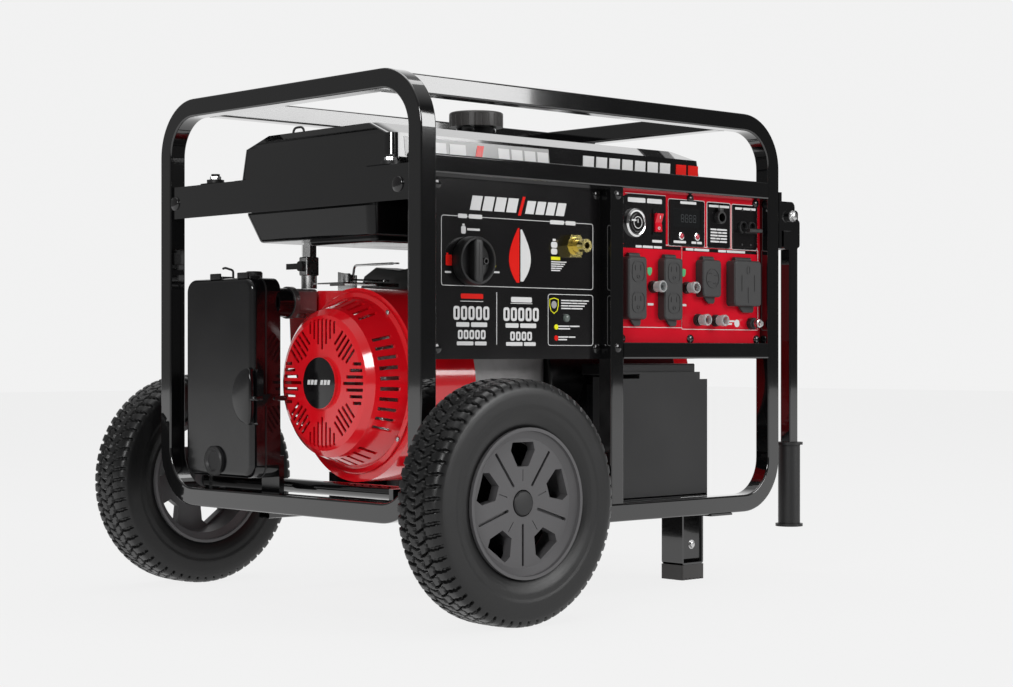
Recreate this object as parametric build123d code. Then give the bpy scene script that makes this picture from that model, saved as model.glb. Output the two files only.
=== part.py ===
from build123d import *
import math
import os

# Portable generator in an open tube frame. Units are millimetres, +Z is up and the
# control panels face -Y. Shapes are laid out with x = 0 at the outer face of the end
# hoop, y = 0 on the middle plane and z = 0 on the ground. Saving moves them along X,
# so that the origin is the middle of the whole object's footprint.

# Frame tubes
tube = 25.0
tube_wall = 1.6
tube_round = 2.5
frame_length = 774.0
hoop_width = 566.0
rail_height = 585.0
rail_gap = 350.0
bend_outer = 78.0
ground_gap = 100.0
drain_radius = 2.5
hoop_drop = 3.0
rail_start = 110.0
# Wheels, axle and feet
wheel_radius = 151.0
tyre_width = 78.0
rim_radius = 92.0
rim_barrel = 82.0
rim_wall = 4.0
wheel_gap = 14.0
wheel_x = 94.0
axle_radius = 9.5
running_gap = 0.05
spoke_count = 5
disc_recess = 12.5
foot_x = 621.4
foot_length = 45.8
foot_width = 41.0
foot_inset = 52.0
foot_plate = 3.0
pad_height = 22.0
# Panels
panel_top = 560.0
panel_bottom = 325.0
lower_bar_height = 23.0
fuel_panel_y = -178.2
outlet_panel_y = -183.1
panel_thickness = 2.0
front_post_x = (68.5, 414.5)
knob_radius = 32.0
knob_depth = 24.0
cover_wall = 2.4
cover_pivot_gap = 4.0
cover_clearance = 0.5
button_radius = 5.0
button_travel = 2.0
# Fuel tank
tank_x = (43.0, 652.0)
tank_width = 348.0
tank_bottom = 485.0
tank_seam = 568.0
tank_crease = 614.0
tank_top = 630.0
tank_lip = 7.0
tank_wall = 1.5
tank_floor_y = (-123.0, 158.0)
sump_depth = 8.0
ear_y = 206.0
cap_radius = 38.5
cap_height = 21.0
neck_radius = 28.0
neck_height = 26.0
cap_x = 344.2
# Engine and alternator, on one shaft along X
shaft_z = 293.0
cover_x = 67.9
cover_depth = 57.0
cover_face_radius = 92.4
cover_back_radius = 116.0
hub_radius = 35.0
sheet = 2.0
blower_radius = 134.0
blower_drop = 3.0
hood_corners = ((-20.0, 124.0), (82.0, 126.0), (141.0, 101.0), (148.0, 92.0), (144.0, 34.0), (112.0, -36.0), (0.0, -60.0))
blower_x = (124.9, 225.7)
case_x = (225.7, 385.1)
case_half = 104.0
case_wall = 8.0
cylinder_tilt = 25.0
cylinder_radius = 48.0
fin_size = 118.0
fin_count = 9
alternator_x = (385.1, 645.9)
alternator_radius = 110.0
alternator_wall = 5.0
stator_radius = 92.0
rotor_radius = 62.0
air_gap = 1.0
shaft_radius = 17.0
end_cover_length = 49.0
flywheel_radius = 82.0
# Air filter
filter_y = (77.5, 236.0)
filter_z = (164.0, 435.0)
filter_x = (10.0, 57.0)
filter_seam = 34.0
filter_gap = 0.6
# Handles
pivot_out = 24.5
pivot_z = 538.6
handle_tube = 19.0
handle_out = 38.5
grip_radius = 16.5
grip_flange = 20.5
grip_z = (72.0, 199.0)
pivot_radius = 5.0

# Values that follow from the ones above
rail_bottom = ground_gap
rail_top = ground_gap + rail_height
rail_y = rail_gap / 2
half_hoop = hoop_width / 2
hoop_bottom = rail_bottom + tube - hoop_drop
inner_right = frame_length - tube
pivot_x = frame_length + pivot_out
handle_x = frame_length + handle_out
tyre_y = half_hoop + wheel_gap
tyre_end = tyre_y + tyre_width
left_end = wheel_x - wheel_radius
right_end = handle_x + grip_flange
middle_x = (left_end + right_end) / 2
top_bar_z = panel_top + tube + 2.0
bracket_top = min(wheel_radius + 14.0, filter_z[0] - 1.0)
seam_low = tank_seam - 3.0
intake_y = 92.0
intake_z = 402.0
alternator_foot = shaft_z - alternator_radius - 7.0


def block(x, y, z, r=0.0):
    """A box between pairs of coordinates, with all edges rounded when r is given."""
    size = (x[1] - x[0], y[1] - y[0], z[1] - z[0])
    centre = ((x[0] + x[1]) / 2, (y[0] + y[1]) / 2, (z[0] + z[1]) / 2)
    solid = Pos(*centre) * Box(*size)
    return fillet(solid.edges(), r) if r else solid


def rod_x(x, r, y=0.0, z=0.0):
    """A cylinder along X between two x values."""
    plane = Plane(origin=(x[0], y, z), x_dir=(0, 1, 0), z_dir=(1, 0, 0))
    return extrude(plane * Circle(r), amount=x[1] - x[0])


def rod_y(y, r, x=0.0, z=0.0):
    """A cylinder along Y between two y values."""
    plane = Plane(origin=(x, y[0], z), x_dir=(1, 0, 0), z_dir=(0, 1, 0))
    return extrude(plane * Circle(r), amount=y[1] - y[0])


def rod_z(z, r, x=0.0, y=0.0):
    """A cylinder along Z between two z values."""
    return extrude(Pos(x, y, z[0]) * Circle(r), amount=z[1] - z[0])


def panel_plane(y):
    """A plane that faces -Y at the given y, with its x along X and its y along Z."""
    return Plane(origin=(0, y, 0), x_dir=(1, 0, 0), z_dir=(0, -1, 0))


def mirrored(solid):
    """The same piece on the other side of the middle plane."""
    return mirror(solid, about=Plane.XZ)


def bar(x, y, z):
    """A straight tube: a box with its long edges rounded and a bore open at both ends."""
    sizes = [x[1] - x[0], y[1] - y[0], z[1] - z[0]]
    longest = sizes.index(max(sizes))
    axis = (Axis.X, Axis.Y, Axis.Z)[longest]
    solid = block(x, y, z)
    solid = fillet(solid.edges().filter_by(axis), tube_round)
    spans = [list(x), list(y), list(z)]
    for i in range(3):
        if i != longest:
            spans[i] = [spans[i][0] + tube_wall, spans[i][1] - tube_wall]
    return solid - block(*spans)


def end_hoop():
    """Closed loop of square tube at the air filter end."""
    height = rail_top - hoop_bottom
    middle = (rail_top + hoop_bottom) / 2
    plane = Plane(origin=(0, 0, middle), x_dir=(0, 1, 0), z_dir=(1, 0, 0))
    outer = RectangleRounded(hoop_width, height, bend_outer)
    inner = RectangleRounded(hoop_width - 2 * tube, height - 2 * tube, bend_outer - tube)
    loop = extrude(plane * (outer - inner), amount=tube)
    loop = fillet(loop.faces().filter_by(Axis.X).edges(), tube_round)
    inset = 2 * tube_wall
    bore_outer = RectangleRounded(hoop_width - inset, height - inset, bend_outer - tube_wall)
    far = 2 * (tube - tube_wall)
    bore_inner = RectangleRounded(hoop_width - far, height - far, bend_outer - tube + tube_wall)
    bore = extrude(plane * (bore_outer - bore_inner), amount=tube - inset)
    drain = rod_z((hoop_bottom + tube / 2, hoop_bottom + tube + 1), drain_radius, tube / 2)
    return loop - Pos(tube_wall, 0, 0) * bore - drain


def side_rail():
    """C-shaped front rail: bottom run, right-hand upright and top run in one bent tube."""
    middle = (rail_top + rail_bottom) / 2
    width = 2 * frame_length
    plane = Plane(origin=(0, -rail_y, middle), x_dir=(1, 0, 0), z_dir=(0, -1, 0))
    outer = RectangleRounded(width, rail_height, bend_outer)
    inner = RectangleRounded(width - 2 * tube, rail_height - 2 * tube, bend_outer - tube)
    loop = extrude(plane * (outer - inner), amount=tube)
    loop = fillet(loop.faces().filter_by(Axis.Y).edges(), tube_round)
    inset = 2 * tube_wall
    bore_outer = RectangleRounded(width - inset, rail_height - inset, bend_outer - tube_wall)
    far = 2 * (tube - tube_wall)
    bore_inner = RectangleRounded(width - far, rail_height - far, bend_outer - tube + tube_wall)
    bore = extrude(plane * (bore_outer - bore_inner), amount=tube - inset)
    loop = loop - Pos(0, -tube_wall, 0) * bore
    low = block((-width, rail_start), (-rail_y - tube, -rail_y), (rail_bottom, middle))
    high = block((-width, tube), (-rail_y - tube, -rail_y), (middle - 1.0, rail_top))
    return loop - low - high


def cross_members():
    """Top crossbar and the two beams under the engine, between the side rails."""
    span = (-rail_y, rail_y)
    top = bar((655.0, 655.0 + tube), span, (rail_top - tube, rail_top))
    beams = [bar((x, x + tube), span, (rail_bottom, rail_bottom + tube)) for x in (240.0, 560.0)]
    return [top] + beams


def panel_frame():
    """Welded front sub-frame: top bar, two posts and the short lower bar."""
    y = (-rail_y - tube, -rail_y)
    low = rail_bottom + tube
    left = front_post_x[0]
    top = bar((left, inner_right), y, (panel_top + 2.0, top_bar_z))
    posts = [bar((x, x + tube), y, (z, panel_top + 2.0)) for x, z in zip(front_post_x, (bracket_top, low))]
    right_post = front_post_x[1] + tube
    lower = bar((right_post, inner_right), y, (panel_bottom, panel_bottom + lower_bar_height))
    return top + posts[0] + posts[1] + lower


def rear_frame():
    """Welded rear sub-frame: one post and the bar from it to the right-hand upright."""
    y = (rail_y, rail_y + tube)
    x = front_post_x[1]
    post = bar((x, x + tube), y, (rail_bottom + tube, rail_top - tube))
    return post + bar((x + tube, inner_right), y, (panel_top + 2.0, top_bar_z))


def tank_bars():
    """Angle bars that carry the tank: one between the hoop's uprights, one on the sub-frames."""
    z = (seam_low - 44.5, seam_low)
    inner = half_hoop - tube
    left_web = block((4.0, 7.0), (-inner, inner), z)
    left_flange = block((7.0, tank_x[0] + 8.0), (-inner, inner), (z[1] - 3.0, z[1]))
    right = tank_x[1] + 1.0
    right_web = block((right, right + 3.0), (-rail_y, rail_y), (z[0], panel_top + 5.0))
    right_flange = block((tank_x[1] - 6.0, right), (-rail_y, rail_y), (z[1] - 3.0, z[1]))
    return [left_web + left_flange, right_web + right_flange]


def axle():
    """Round axle under the engine, with a shoulder washer and a nut at each wheel."""
    end = tyre_end - disc_recess - 5.5
    shaft = rod_y((-end, end), axle_radius, wheel_x, wheel_radius)
    for side in (-1, 1):
        shoulder = sorted((side * (tyre_y - 1.0), side * (tyre_y - 5.0)))
        nut = sorted((side * end, side * (end - 6.0)))
        shaft += rod_y(shoulder, axle_radius + 6.0, wheel_x, wheel_radius)
        shaft += rod_y(nut, axle_radius + 3.5, wheel_x, wheel_radius)
    return shaft


def axle_bracket():
    """Gusset plate between the hoop and the front bottom rail, with the axle's bore."""
    y = (-rail_y - tube, -rail_y - tube + 8.0)
    plate = block((tube, rail_start), y, (hoop_bottom, bracket_top))
    plate += block((rail_start, rail_start + 30.0), y, (rail_bottom + tube, bracket_top))
    plate = chamfer(plate.edges().filter_by(Axis.Y).group_by(Axis.X)[-1].group_by(Axis.Z)[-1], 12.0)
    return plate - rod_y((y[0] - 1, y[1] + 1), axle_radius, wheel_x, wheel_radius)


def foot_bracket():
    """U-shaped strap of the front foot: two legs, a web at the bottom and a top plate."""
    y = (-rail_y + foot_inset - foot_width / 2, -rail_y + foot_inset + foot_width / 2)
    x = (foot_x, foot_x + foot_length)
    z = (pad_height, rail_bottom)
    outer = block(x, y, z)
    outer = fillet(outer.edges().filter_by(Axis.Y).group_by(Axis.Z)[0], 5.0)
    inner = block((x[0] + foot_plate, x[1] - foot_plate), y, (z[0] + foot_plate, z[1] - foot_plate))
    arm = block(x, (-rail_y - tube, y[1]), (rail_bottom - foot_plate, rail_bottom))
    return outer - inner + arm


def foot_pad():
    """Rubber block under the front foot, with a grooved sole."""
    y = (-rail_y + foot_inset - foot_width / 2 - 1.0, -rail_y + foot_inset + foot_width / 2 + 1.0)
    x = (foot_x - 1.0, foot_x + foot_length + 1.0)
    pad = block(x, y, (0.0, pad_height))
    pad = fillet(pad.edges().filter_by(Axis.Z), 3.0)
    for i in range(5):
        groove = x[0] + (i + 1) * (x[1] - x[0]) / 6
        pad -= block((groove - 1.5, groove + 1.5), (y[0] - 1, y[1] + 1), (-1.0, 2.2))
    return pad


def rubber_mounts():
    """Rubber blocks under the engine and alternator, and washers with bolts on the tank's ears."""
    z = rail_bottom + tube
    mounts = []
    for x, top in ((252.5, shaft_z - case_half), (572.5, alternator_foot)):
        for y in (-60.0, 60.0):
            mounts.append(rod_z((z, top - 4.0), 18.0, x, y) + rod_z((z, top), 6.0, x, y))
    low = seam_low + 3.0
    for y in (-190.0, 190.0):
        x = tank_x[0] - 14.0
        mounts.append(rod_z((low, low + 5.0), 12.0, x, y) + rod_z((low, low + 13.0), 6.0, x, y))
    return mounts


def tyre():
    """Front tyre: rounded carcass with a flat tread, on the rim barrel."""
    half = tyre_width / 2
    r = wheel_radius
    outline = [(rim_barrel, -half + 14.0), (rim_radius - 2.0, -half + 9.0), (rim_radius + 3.0, -half + 5.25),
               (rim_radius + 14.0, -half + 1.0), (r - 26.0, -half), (r - 9.0, -half + 3.0), (r, -half + 10.0)]
    other = [(x, -y) for x, y in reversed(outline)]
    face = make_face(Polyline(*(outline + other), close=True))
    section = Plane(origin=(wheel_x, -tyre_y - half, wheel_radius), x_dir=(1, 0, 0), z_dir=(0, 0, 1)) * face
    axis = Axis((wheel_x, -tyre_y - half, wheel_radius), (0, 1, 0))
    return revolve(section, axis=axis)


def rim_half(y_face, step):
    """Outer half of the rim's barrel from its lip inwards, as (radius, y) revolved about the axle."""
    r = rim_radius
    points = [(rim_barrel, y_face + 24.0 * step), (rim_barrel, y_face + 14.0 * step),
              (r - 2.0, y_face + 9.0 * step), (r, y_face + 7.5 * step), (r, y_face + 2.5 * step),
              (r - 4.0, y_face + 2.5 * step), (r - 4.5, y_face + 7.0 * step),
              (rim_barrel - rim_wall, y_face + 13.0 * step), (rim_barrel - rim_wall, y_face + 24.0 * step)]
    face = make_face(Polyline(*[(wheel_x + a, b, wheel_radius) for a, b in points], close=True))
    return revolve(face, axis=Axis((wheel_x, 0, wheel_radius), (0, 1, 0)))


def rim():
    """Front rim: barrel with two lips, a dished disc with five windows and a bored hub."""
    y_face = -tyre_end
    bore_r = rim_barrel - rim_wall
    barrel = rod_y((y_face + 23.0, -tyre_y - 23.0), rim_barrel, wheel_x, wheel_radius)
    barrel -= rod_y((y_face + 20.0, -tyre_y - 20.0), bore_r, wheel_x, wheel_radius)
    wheel = barrel + rim_half(y_face, 1.0) + rim_half(-tyre_y, -1.0)
    disc = rod_y((y_face + disc_recess, y_face + disc_recess + 13.0), bore_r + 1.0, wheel_x, wheel_radius)
    hub = rod_y((y_face + disc_recess + 2.0, -tyre_y - 1.0), 26.0, wheel_x, wheel_radius)
    face = panel_plane(y_face + disc_recess + 14.0)
    plane = panel_plane(y_face + disc_recess + 5.0)
    for i in range(spoke_count):
        window = Polyline((-17.0, 74.0), (17.0, 74.0), (20.0, 64.0), (9.0, 44.5), (-9.0, 44.5),
                          (-20.0, 64.0), close=True)
        turn = Rot(0, 0, i * 360.0 / spoke_count)
        disc -= extrude(face * Pos(wheel_x, wheel_radius) * turn * make_face(window), amount=20.0)
        half_turn = Rot(0, 0, (i + 0.5) * 360.0 / spoke_count)
        groove = half_turn * Pos(0, 50.5) * RectangleRounded(3.6, 51.0, 1.7)
        disc -= extrude(plane * Pos(wheel_x, wheel_radius) * groove, amount=6.0)
        line = turn * Pos(0, 34.0) * Rectangle(1.0, 14.0)
        disc -= extrude(panel_plane(y_face + disc_recess + 1.5) * Pos(wheel_x, wheel_radius) * line, amount=3.0)
    bore = rod_y((y_face, -tyre_y), axle_radius + running_gap, wheel_x, wheel_radius)
    nut_room = rod_y((y_face, y_face + disc_recess + 12.0), axle_radius + 7.0, wheel_x, wheel_radius)
    return wheel + (disc + hub) - bore - nut_room


def handle_bracket():
    """Clevis on the right-hand upright, with the pivot pin of the front handle."""
    y = (-rail_y - tube, -rail_y)
    z = (490.0, 574.0)
    plate = block((frame_length, frame_length + 6.0), y, z)
    cheeks = [block((frame_length + 6.0, pivot_x + 12.0), span, (pivot_z - 22.0, pivot_z + 22.0))
              for span in ((y[0], y[0] + 2.5), (y[1] - 2.5, y[1]))]
    cheeks = [fillet(c.edges().filter_by(Axis.Y).group_by(Axis.X)[-1], 8.0) for c in cheeks]
    pin = rod_y((y[0] - 2.0, y[1] + 2.0), pivot_radius, pivot_x, pivot_z)
    heads = rod_y((y[0] - 5.0, y[0]), 8.0, pivot_x, pivot_z)
    heads += rod_y((y[1], y[1] + 5.0), 8.0, pivot_x, pivot_z)
    return plate + cheeks[0] + cheeks[1] + pin + heads


def handle():
    """Front lifting handle: pivot eye, stop plate and square tube."""
    middle = -rail_y - tube / 2
    y = (middle - handle_tube / 2, middle + handle_tube / 2)
    x = (handle_x - handle_tube / 2, handle_x + handle_tube / 2)
    arm = block(x, y, (grip_z[0] + 2.0, pivot_z - 8.0))
    arm = fillet(arm.edges().filter_by(Axis.Z), 2.0)
    head = block((pivot_x - 10.0, x[1]), y, (pivot_z - 50.0, pivot_z + 10.0))
    head = fillet(head.edges().filter_by(Axis.Y), 6.0)
    latch = block((x[1] - 1.0, x[1] + 9.0), (y[0] + 4.0, y[1] - 4.0), (pivot_z - 46.0, pivot_z - 4.0))
    latch = fillet(latch.edges().filter_by(Axis.Y).group_by(Axis.X)[-1], 5.0)
    hole = rod_y((y[0] - 1, y[1] + 1), pivot_radius + running_gap, pivot_x, pivot_z)
    bore = block((x[0] + 1.6, x[1] - 1.6), (y[0] + 1.6, y[1] - 1.6), (grip_z[0], grip_z[1] + 100.0))
    return arm + head + latch - hole - bore


def grip():
    """Rubber grip with two flanges, on the end of the front handle."""
    middle = -rail_y - tube / 2
    body = rod_z(grip_z, grip_radius, handle_x, middle)
    for z in (grip_z[0], grip_z[1] - 4.0):
        body += rod_z((z, z + 4.0), grip_flange, handle_x, middle)
    half = handle_tube / 2
    bore = block((handle_x - half, handle_x + half), (middle - half, middle + half),
                 (grip_z[0] + 2.0, grip_z[1] + 1.0))
    return body - bore


def tank_section(z, inset, end_inset, y=None):
    """Rounded rectangle at one height of the tank, set in from the rim."""
    half = tank_width / 2 - tank_lip - inset
    low, high = y if y else (-half, half)
    x0 = tank_x[0] + tank_lip + end_inset
    x1 = tank_x[1] - tank_lip - end_inset
    plate = RectangleRounded(x1 - x0, high - low, 14.0)
    return Pos((x0 + x1) / 2, (low + high) / 2, z) * plate


def tank_flange(z):
    """Rolled rim of one pressing, a flat rounded ring between two z values."""
    plate = RectangleRounded(tank_x[1] - tank_x[0], tank_width, 12.0)
    return extrude(Pos((tank_x[0] + tank_x[1]) / 2, 0, z[0]) * plate, amount=z[1] - z[0])


def tank_upper():
    """Upper pressing, crowned, hollow and open below, with the welded filler neck."""
    def shell(inset, top):
        return loft([tank_section(tank_seam, inset, inset), tank_section(tank_crease, 5.0 + inset, 4.0 + inset),
                     tank_section(top, 48.0 + inset, 10.0 + inset)], ruled=True)
    outer = shell(0.0, tank_top)
    outer += tank_flange((tank_seam, tank_seam + 3.0))
    outer += rod_z((tank_top - 3.0, tank_top + 6.0), 62.0, cap_x)
    inner = shell(tank_wall + 0.5, tank_top - 2 * tank_wall)
    top = tank_top + neck_height
    neck = rod_z((tank_top - 6.0, top), neck_radius, cap_x)
    return (outer - inner + neck) - rod_z((tank_seam, top + 1.0), neck_radius - 2.5, cap_x)


def tank_lower():
    """Lower pressing, narrower behind the panels, with a shallow sump; hollow and open above."""
    low, high = tank_floor_y
    def shell(t, bottom):
        wide = (low + t, high - t)
        narrow = (low + 12.0 + t, high - 14.0 - t)
        return loft([tank_section(tank_seam, 0.0, 2.0 + t, (low - 2.0 + t, high + 2.0 - t)),
                     tank_section(tank_seam - 45.0, 0.0, 4.0 + t, wide),
                     tank_section(bottom, 0.0, 16.0 + t, narrow)], ruled=True)
    outer = shell(0.0, tank_bottom)
    outer = fillet(outer.faces().sort_by(Axis.Z)[0].edges(), 6.0)
    outer += tank_flange((tank_seam - 3.0, tank_seam))
    for side in (-1, 1):
        y = sorted((side * 160.0, side * ear_y))
        outer += block((tank_x[0] - 28.0, tank_x[0] + 12.0), y, (seam_low, tank_seam))
    sump = block((tank_x[0] + 27.0, 380.0), (low + 14.0, 36.0), (tank_bottom - sump_depth, tank_bottom + 20.0))
    sump = fillet(sump.edges().filter_by(Axis.Z), 10.0)
    sump = fillet(sump.faces().sort_by(Axis.Z)[0].edges(), 5.0)
    inner = shell(tank_wall + 0.5, tank_bottom + 2 * tank_wall)
    room = block((tank_x[0] + 31.0, 376.0), (low + 18.0, 32.0), (tank_bottom - sump_depth + 3.0, tank_bottom + 25.0))
    return outer + sump - inner - room


def filler_cap():
    """Turn-off cap with a ribbed skirt that fits over the neck."""
    top = tank_top + neck_height + 19.0
    skirt = rod_z((top - cap_height, top), cap_radius, cap_x)
    skirt = fillet(skirt.faces().sort_by(Axis.Z)[-1].edges(), 3.0)
    room = tank_top + neck_height + 0.4
    skirt -= rod_z((top - cap_height - 1.0, room), neck_radius + 0.4, cap_x)
    for i in range(24):
        angle = math.radians(i * 15.0)
        x = cap_x + (cap_radius + 0.6) * math.cos(angle)
        skirt -= rod_z((top - cap_height - 1.0, top - 4.0), 1.6, x, (cap_radius + 0.6) * math.sin(angle))
    return skirt


def fuel_tap():
    """Fuel tap under the tank: outlet nut, valve body and sediment bowl."""
    x, y = 122.6, 100.0
    nut = extrude(Pos(x, y, 466.0) * RegularPolygon(11.0, 6), amount=17.0)
    stem = rod_z((483.0, tank_bottom), 7.0, x, y)
    body = block((x - 11.0, x + 11.0), (y - 9.0, y + 9.0), (440.0, 466.0), 2.0)
    bowl = rod_z((422.0, 440.0), 11.0, x, y)
    return nut + stem + body + bowl


def fuel_tap_lever():
    """Lever on the side of the fuel tap that turns a quarter turn."""
    x, y, z = 122.6, 100.0, 453.0
    boss = rod_x((x - 17.0, x - 11.3), 7.0, y, z)
    arm = block((x - 17.0, x - 13.0), (y, y + 30.0), (z - 4.0, z + 4.0))
    return boss + arm


def recoil_slots():
    """Cutters of the recoil cover: eight groups of parallel slots and the side louvres."""
    cutters = []
    x = (cover_x - 1.0, cover_x + 9.0)
    for group in range(8):
        straight = group % 2 == 0
        count = 7 if straight else 5
        for i in range(count):
            t = (i - (count - 1) / 2) * 8.6
            near = 45.0 + 0.8 * abs(t) if straight else 49.0 + 0.35 * abs(t)
            far = math.sqrt(86.0 ** 2 - t ** 2) - (0.0 if straight else 4.0)
            slot = block(x, (t - 2.1, t + 2.1), (near, far))
            cutters.append(Pos(0, 0, shaft_z) * Rot(group * 45.0, 0, 0) * slot)
    for i in range(48):
        if i % 12 in (5, 6):
            continue
        side = block((cover_x + 17.0, cover_x + 43.0), (-2.5, 2.5), (cover_face_radius, 130.0))
        cutters.append(Pos(0, 0, shaft_z) * Rot(i * 7.5 + 3.75, 0, 0) * side)
    return cutters


def revolved(points):
    """Solid of revolution about the shaft from (x, radius) points."""
    face = make_face(Polyline(*[(x, 0, shaft_z + r) for x, r in points], close=True))
    return revolve(face, axis=Axis((0, 0, shaft_z), (1, 0, 0)))


def recoil_cover():
    """Domed starter cover with slotted face and louvred side, and its round centre badge."""
    back = cover_x + cover_depth
    lip = cover_back_radius + 6.0
    outer = [(cover_x, 0), (cover_x, cover_face_radius - 9.0), (cover_x + 3.0, cover_face_radius - 2.0),
             (cover_x + 11.0, cover_face_radius + 7.0), (back - 4.0, cover_back_radius), (back - 3.0, lip),
             (back, lip), (back, 0)]
    inner = [(cover_x + sheet, 0), (cover_x + sheet, cover_face_radius - 10.0),
             (cover_x + 5.0, cover_face_radius - 4.0), (cover_x + 12.0, cover_face_radius + 4.5),
             (back + 1.0, cover_back_radius - sheet - 0.5), (back + 1.0, 0)]
    shell = revolved(outer) - revolved(inner)
    shell -= recoil_slots()
    return shell + rod_x((cover_x - 5.0, cover_x + 1.0), hub_radius, 0, shaft_z)


def blower_outline(inset):
    """Outline of the blower housing: a drum that opens towards the cylinder."""
    plane = Plane(origin=(0, 0, shaft_z), x_dir=(0, 1, 0), z_dir=(1, 0, 0))
    drum = Pos(0, -blower_drop) * Circle(blower_radius - blower_drop)
    hood = make_face(Polyline(*hood_corners, close=True))
    hood = fillet(hood.vertices().group_by(Axis.X)[-1] + hood.vertices().group_by(Axis.X)[-2], 6.0)
    outline = drum + hood
    if inset:
        outline = offset(outline, amount=-inset)
    return plane * outline


def blower_housing():
    """Sheet housing that guides the fan's air to the cylinder, open at the back."""
    length = blower_x[1] - blower_x[0]
    outer = extrude(Pos(blower_x[0], 0, 0) * blower_outline(0.0), amount=length)
    inner = extrude(Pos(blower_x[0] + sheet, 0, 0) * blower_outline(sheet), amount=length)
    mouth = rod_x((blower_x[0] - 1.0, blower_x[0] + 10.0), flywheel_radius + 12.0, 0, shaft_z)
    return outer - inner - mouth


def flywheel():
    """Flywheel with fan blades, on the crankshaft."""
    x = (145.0, 175.0)
    disc = rod_x((x[0] + 8.0, x[1]), flywheel_radius, 0, shaft_z)
    for i in range(16):
        blade = block((x[0] - 10.0, x[0] + 9.0), (-1.5, 1.5), (44.0, flywheel_radius - 2.0))
        disc += Pos(0, 0, shaft_z) * Rot(i * 22.5, 0, 0) * blade
    return disc - rod_x((x[0] - 20.0, x[1] + 1.0), shaft_radius, 0, shaft_z)


def rotor_shaft():
    """Crankshaft with its two webs, and the alternator rotor on the same shaft."""
    end = alternator_x[1] + 8.0
    shaft = rod_x((138.0, end), shaft_radius, 0, shaft_z)
    for x in (275.0, 325.0):
        shaft += block((x, x + 16.0), (-24.0, 24.0), (shaft_z - 62.0, shaft_z + 34.0), 4.0)
    rotor = rod_x((alternator_x[0] + 52.0, alternator_x[1] - 50.0), rotor_radius, 0, shaft_z)
    return shaft + rotor


def case_block():
    """Outer block of the crankcase casting."""
    return block(case_x, (-case_half, case_half - 10.0), (shaft_z - case_half, shaft_z + case_half), 14.0)


def crankcase():
    """Cast crankcase, hollow, with a bearing bore at each end."""
    body = case_block()
    room = block((case_x[0] + case_wall, case_x[1] - case_wall), (-case_half + case_wall, case_half - 18.0),
                 (shaft_z - case_half + case_wall, shaft_z + case_half - case_wall))
    bore = rod_x((case_x[0] - 1, case_x[1] + 1), shaft_radius + running_gap, 0, shaft_z)
    cover = rod_x((case_x[0] + 30.0, case_x[1] - 30.0), 12.0, -case_half + 4.0, shaft_z + case_half - 30.0)
    return body - room - bore + (cover - room)


def cylinder():
    """Finned cylinder and head, tilted to the rear, with the valve cover and spark plug."""
    start = 104.0
    barrel = rod_z((start, start + 70.0), cylinder_radius)
    for i in range(fin_count):
        z = start + 4.0 + i * 8.0
        barrel += block((-fin_size / 2, fin_size / 2), (-fin_size / 2 + 8, fin_size / 2 - 8), (z, z + 2.6))
    cover = block((-50.0, 50.0), (-42.0, 42.0), (start + 71.0, start + 86.0), 5.0)
    plug = rod_z((start + 74.0, start + 100.0), 8.0, -54.6)
    tilt = Pos((case_x[0] + case_x[1]) / 2, 0, shaft_z) * Rot(-90.0 + cylinder_tilt, 0, 0)
    return [tilt * barrel - case_block(), tilt * (cover + plug)]


def carburettor():
    """Carburettor body with its float bowl and inlet flange."""
    body = block((84.0, 120.0), (76.0, 116.0), (388.0, 421.0), 4.0)
    bowl = rod_z((382.0, 390.0), 12.0, 104.0, 103.0)
    flange = rod_x((78.0, 86.0), 22.0, intake_y, intake_z)
    return body + bowl + flange


def control_plate():
    """Bent steel plate over the blower housing that carries the throttle arm."""
    z = shaft_z + blower_radius + 1.0
    slope = block((128.0, 226.0), (30.0, 88.0), (z, z + 2.0))
    tab = block((128.0, 130.0), (30.0, 60.0), (z - 3.0, z))
    ear = block((186.0, 226.0), (30.0, 32.0), (z - 3.0, z))
    pin = rod_z((z + 2.0, z + 16.0), 4.0, 170.0, 74.0)
    return slope + tab + ear + pin


def throttle_arm():
    """Governor arm that turns on the control plate's pin."""
    z = shaft_z + blower_radius + 5.0
    arm = block((164.0, 236.0), (70.0, 78.0), (z + 2.0, z + 4.5))
    boss = rod_z((z, z + 10.0), 8.0, 170.0, 74.0)
    eye = rod_z((z + 2.0, z + 4.5), 7.0, 236.0, 74.0)
    hole = rod_z((z - 1.0, z + 11.0), 4.0 + running_gap, 170.0, 74.0)
    return arm + boss + eye - hole - rod_z((z + 1.0, z + 6.0), 3.0, 236.0, 74.0)


def filter_base():
    """Rear half of the air filter box, with the elbow to the carburettor."""
    y, z = filter_y, filter_z
    x = (filter_seam + filter_gap, filter_x[1])
    box = block(x, y, z)
    box = fillet(box.edges().filter_by(Axis.X), 18.0)
    room = block((x[0] - 1.0, x[1] - 3.0), (y[0] + 6.0, y[1] - 6.0), (z[0] + 6.0, z[1] - 6.0))
    elbow = rod_x((filter_x[1] - 4.0, 78.0), 20.0, intake_y, intake_z)
    way = rod_x((filter_x[1] - 6.0, 79.0), 16.0, intake_y, intake_z)
    stay = block((filter_x[1] - 2.0, filter_x[1] + 6.0), (y[0], y[0] + 40.0), (hoop_bottom + 5.0, z[0] + 30.0))
    return box - room + elbow - way + stay


def filter_element():
    """Pleated paper element inside the air filter box."""
    y, z = filter_y, filter_z
    return block((filter_seam + 4.0, filter_x[1] - 3.0), (y[0] + 12.0, y[1] - 12.0), (z[0] + 12.0, z[1] - 80.0))


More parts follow.
